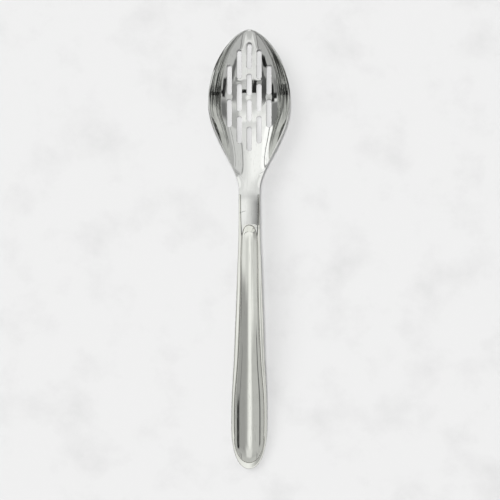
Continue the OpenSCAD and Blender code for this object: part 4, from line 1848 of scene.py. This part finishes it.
@dataclass
class Studio:
    """The table, lamps, soft panels, painted reflection sheets, and the camera above the spoon."""

    frame_mm: float = 345.2
    frame_centre_mm: float = 0.5
    sensor_mm: float = 36.0
    camera_mm: tuple[float, float, float] = (-8.0, 0.13, 1150.0)
    middle_height_mm: float = 15.0
    table_m: float = 6.0
    room_colour: str = "#ACACAC"
    lowest_look: float = 0.05
    lamps: tuple[Lamp, ...] = (
        Lamp("top_light", 7.8, 0.12, (1.0, 2.0)),
        Lamp("side_light", 2.2, 0.7, (22.0, 34.0)),
        Lamp("fill_light", 1.0, 2.8),
    )
    # Painted reflections: sheets hung over the spoon that put dark bands and bright patches in the
    # steel.
    painted_reflection_sheets: tuple[PaintedReflectionSheet, ...] = (
        PaintedReflectionSheet("painted_dark_reflection_left", 19, 60, (83.2, 170.3), (89, 185.8)),
        PaintedReflectionSheet("painted_dark_reflection_right", -150, -19, (73.7, 144.6), (89, 185.8)),
        PaintedReflectionSheet("painted_pale_reflection", -9, 9, (110, 30), (121.5, 30), (1.5, 1.5, 1.2, 3), "#DEDEDE"),
        PaintedReflectionSheet("painted_grey_reflection_right", -66, -36, (91.8, 69.5), (124, 108.3), (3, 3, 1.5, 34), "#484848",
            0.95),
        PaintedReflectionSheet("painted_faint_dark_reflection_left", 4, 72, (93, 71), (116, 98.7), (5, 5, 3, 20), "#000000", 0.62,
            (-30, 60)),
        PaintedReflectionSheet("painted_dark_reflection_neck", -6, 26, (19, 44), (58, 44), (1, 6, 6, 16), "#000000", 0.92,
            (-6, 20)),
        PaintedReflectionSheet("painted_nose_reflection", -14, 6, (18.6, 27), (21.1, 43.6), (2, 1, 0.4, 1), "#E2E2E0"),
        PaintedReflectionSheet("painted_nose_reflection_side", 5.4, 15, (19.1, 30.2), (21.1, 43.6), (1, 2, 1, 1), "#D2D2D0"),
    )
    panels: tuple[SoftPanel, ...] = (
        SoftPanel(-0.45, -0.19, 0.39, 0.19, 0.06, "#999999"),
        SoftPanel(0.32, -0.15, 0.28, 0.26, 0.07, "#B6B6B6"),
        SoftPanel(0.34, 0.0, 0.28, 0.13, 0.06, "#C8C8C8"),
        SoftPanel(-0.42, 0.3, 0.3, 0.22, 0.09, "#ECECEC"),
        SoftPanel(-0.45, 0.08, 0.36, 0.09, 0.05, "#DCDCDC"),
        SoftPanel(0.6, 0.45, 0.38, 0.2, 0.06, "#ACACAC"),
        SoftPanel(0.42, 0.5, 0.2, 0.15, 0.02, "#C8C8C8"),
        SoftPanel(0, 0.05, 0.2, 0.1, 0.06, "#CCCCCC"),
        SoftPanel(0, 0.24, 0.22, 0.1, 0.05, "#ECECEC"),
        SoftPanel(0, 0.285, 0.24, 0.035, 0.015, "#D4D4D4"),
        SoftPanel(-0.3, 0.38, 0.2, 0.06, 0.03, "#ECECEC"),
        SoftPanel(-0.24, 0.5, 0.41, 0.17, 0.012, "#D8D8D8"),
        SoftPanel(-0.44, 0.5, 0.46, 0.17, 0.1, "#F2F2F2"),
        SoftPanel(-0.58, 0.44, 0.14, 0.1, 0.02, "#FFFFFF"),
        SoftPanel(0.09, -0.1, 0.11, 0.055, 0.05, "#E2E2E2", 20),
        SoftPanel(0.018, -0.25, 0.036, 0.42, 0.032, "#EEEEEE"),
        SoftPanel(0, -0.4, 0.09, 0.08, 0.04, "#D8D8D8"),
        SoftPanel(0, -0.63, 0.34, 0.16, 0.03, "#B8B8B8"),
        SoftPanel(0.62, -0.46, 0.26, 0.2, 0.03, "#B2B2B2"),
        SoftPanel(-0.62, -0.48, 0.26, 0.18, 0.03, "#A6A6A6"),
        SoftPanel(-0.465, -0.325, 0.062, 0.062, 0.015, "#1C1C1C"),
        SoftPanel(-0.37, -0.27, 0.012, 0.09, 0.012, "#4C4C4C"),
        SoftPanel(0.43, -0.25, 0.04, 0.1, 0.025, "#606060"),
        SoftPanel(0.36, -0.55, 0.012, 0.12, 0.01, "#646464", 14),
        SoftPanel(-0.36, -0.55, 0.012, 0.12, 0.01, "#5A5A5A", -14),
        SoftPanel(-0.79, -0.1, 0.06, 0.07, 0.02, "#7C7C7C"),
        SoftPanel(-0.665, -0.04, 0.042, 0.09, 0.012, "#1C1C1C"),
        SoftPanel(-0.73, -0.02, 0.07, 0.03, 0.012, "#1C1C1C"),
        SoftPanel(0.735, -0.09, 0.05, 0.085, 0.012, "#222222"),
        SoftPanel(0.8, -0.055, 0.04, 0.022, 0.012, "#222222"),
        SoftPanel(-0.725, 0.225, 0.1, 0.175, 0.025, "#767676"),
        SoftPanel(0.74, 0.16, 0.1, 0.13, 0.06, "#6C6C6C"),
        SoftPanel(-0.93, 0.13, 0.07, 0.09, 0.02, "#F0F0F0"),
        SoftPanel(0.93, 0.13, 0.07, 0.09, 0.02, "#F0F0F0"),
        SoftPanel(0.87, -0.45, 0.012, 0.2, 0.008, "#404040"),
        SoftPanel(-0.87, -0.45, 0.012, 0.2, 0.008, "#404040"),
        SoftPanel(-0.61, 0.43, 0.014, 0.1, 0.008, "#303030", 8),
        SoftPanel(0.205, 0.46, 0.006, 0.08, 0.005, "#6C6C6C"),
        SoftPanel(0.55, 0.42, 0.008, 0.06, 0.006, "#707070", 10),
    )

    def table(self) -> None:
        """Lay the table under the spoon."""
        half = self.table_m / 2
        mesh = bpy.data.meshes.new("table_top")
        mesh.from_pydata([(-half, -half, 0), (half, -half, 0), (half, half, 0), (-half, half, 0)],
                         [], [(0, 1, 2, 3)])
        mesh.materials.append(PaleStone().build())
        top = show("table_top", mesh)

    def camera(self) -> None:
        """Hang the camera straight above the spoon, with the bowl's tip at the top."""
        data = bpy.data.cameras.new("camera")
        distance = self.camera_mm[2] - self.middle_height_mm
        data.sensor_width = self.sensor_mm
        data.lens = self.sensor_mm * distance / self.frame_mm
        data.shift_x = (self.frame_centre_mm - self.camera_mm[0]) / self.frame_mm
        camera = show("camera", data)
        camera.location = [c * MM for c in self.camera_mm]
        bpy.context.scene.camera = camera

    def world(self) -> None:
        """Make the studio round the table from its soft panels."""
        world = bpy.data.worlds.new("studio")
        bpy.context.scene.world = world
        world.cycles_visibility.diffuse = False
        add = partial(add_node, emptied(world))
        way = add("ShaderNodeTexCoord").outputs["Generated"]
        parts = add("ShaderNodeSeparateXYZ", {0: way})
        high = add("ShaderNodeMath", {0: parts.outputs["Z"], 1: 1.0}, operation="ADD")
        safe = add("ShaderNodeMath", {0: high.outputs[0], 1: self.lowest_look},
                   operation="MAXIMUM")
        slope = add("ShaderNodeVectorMath", {0: way, 1: safe.outputs[0]}, operation="DIVIDE")
        colour: tuple | Socket = linear(self.room_colour)
        for panel in self.panels:
            placed = add("ShaderNodeMapping",
                         {"Vector": slope.outputs[0],
                          "Location": (panel.across, panel.along, 0.0),
                          "Rotation": (0.0, 0.0, math.radians(panel.turn))},
                         vector_type="TEXTURE")
            near = add("ShaderNodeVectorMath", {0: placed.outputs[0]}, operation="ABSOLUTE")
            sides = add("ShaderNodeSeparateXYZ", {0: near.outputs[0]})
            masks = {}
            for number, half in enumerate((panel.half_width, panel.half_height)):
                mask = add("ShaderNodeMapRange",
                           {"Value": sides.outputs[number], "From Min": half + panel.soft,
                            "From Max": half - panel.soft}, interpolation_type="SMOOTHSTEP")
                masks[number] = mask.outputs[0]
            both = add("ShaderNodeMath", masks, operation="MULTIPLY")
            colour = add("ShaderNodeMix", {"Factor": both.outputs[0], 6: colour,
                                           7: linear(panel.colour)}, data_type="RGBA").outputs[2]
        back = add("ShaderNodeBackground", {"Color": colour, "Strength": STUDIO_STRENGTH})
        add("ShaderNodeOutputWorld", {"Surface": back.outputs["Background"]})

    def build(self) -> None:
        """Build the studio and set how the picture is developed."""
        self.table()
        for painted_sheet in self.painted_reflection_sheets:
            painted_sheet.build()
        self.world()
        for lamp in self.lamps:
            lamp.build()
        self.camera()
        view = bpy.context.scene.view_settings
        view.view_transform, view.look = "Standard", "None"


def main() -> None:
    """Build the spoon and the studio; attach the pieces and hide the parts they stand for."""
    logging.basicConfig(level=logging.INFO, format="%(name)s %(message)s")
    form = SpoonForm()
    # The blade's walls get painted dark reflection streaks in their colour.
    bowl_steel = StampedSteel("mirror_polished_stainless_blade").build()
    shell_steel = PolishedSteel("mirror_polished_stainless_shell").build()
    weld_steel = BuffedWeld("buffed_stainless_weld").build()
    pieces = (
        (Blade(form, bowl_steel).build(), "slotted_bowl", "bowl_steel"),
        (BackShell(form, shell_steel).build(), "handle_back_shell", "shell_steel"),
        (FrontShell(form, shell_steel).build(), "handle_front_shell", "shell_steel"),
        (Welds(form, weld_steel).panel_bead(), "front_shell_weld", "weld_steel"),
        (Welds(form, weld_steel).neck_fills(), "neck_seam_welds", "weld_steel"),
    )
    for piece, node, slot in pieces:
        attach(piece, BODY)
        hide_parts(node)
        LOG.info("%s stands for %s", piece.name, node)
    Studio().build()


if __name__ == "__main__":
    main()
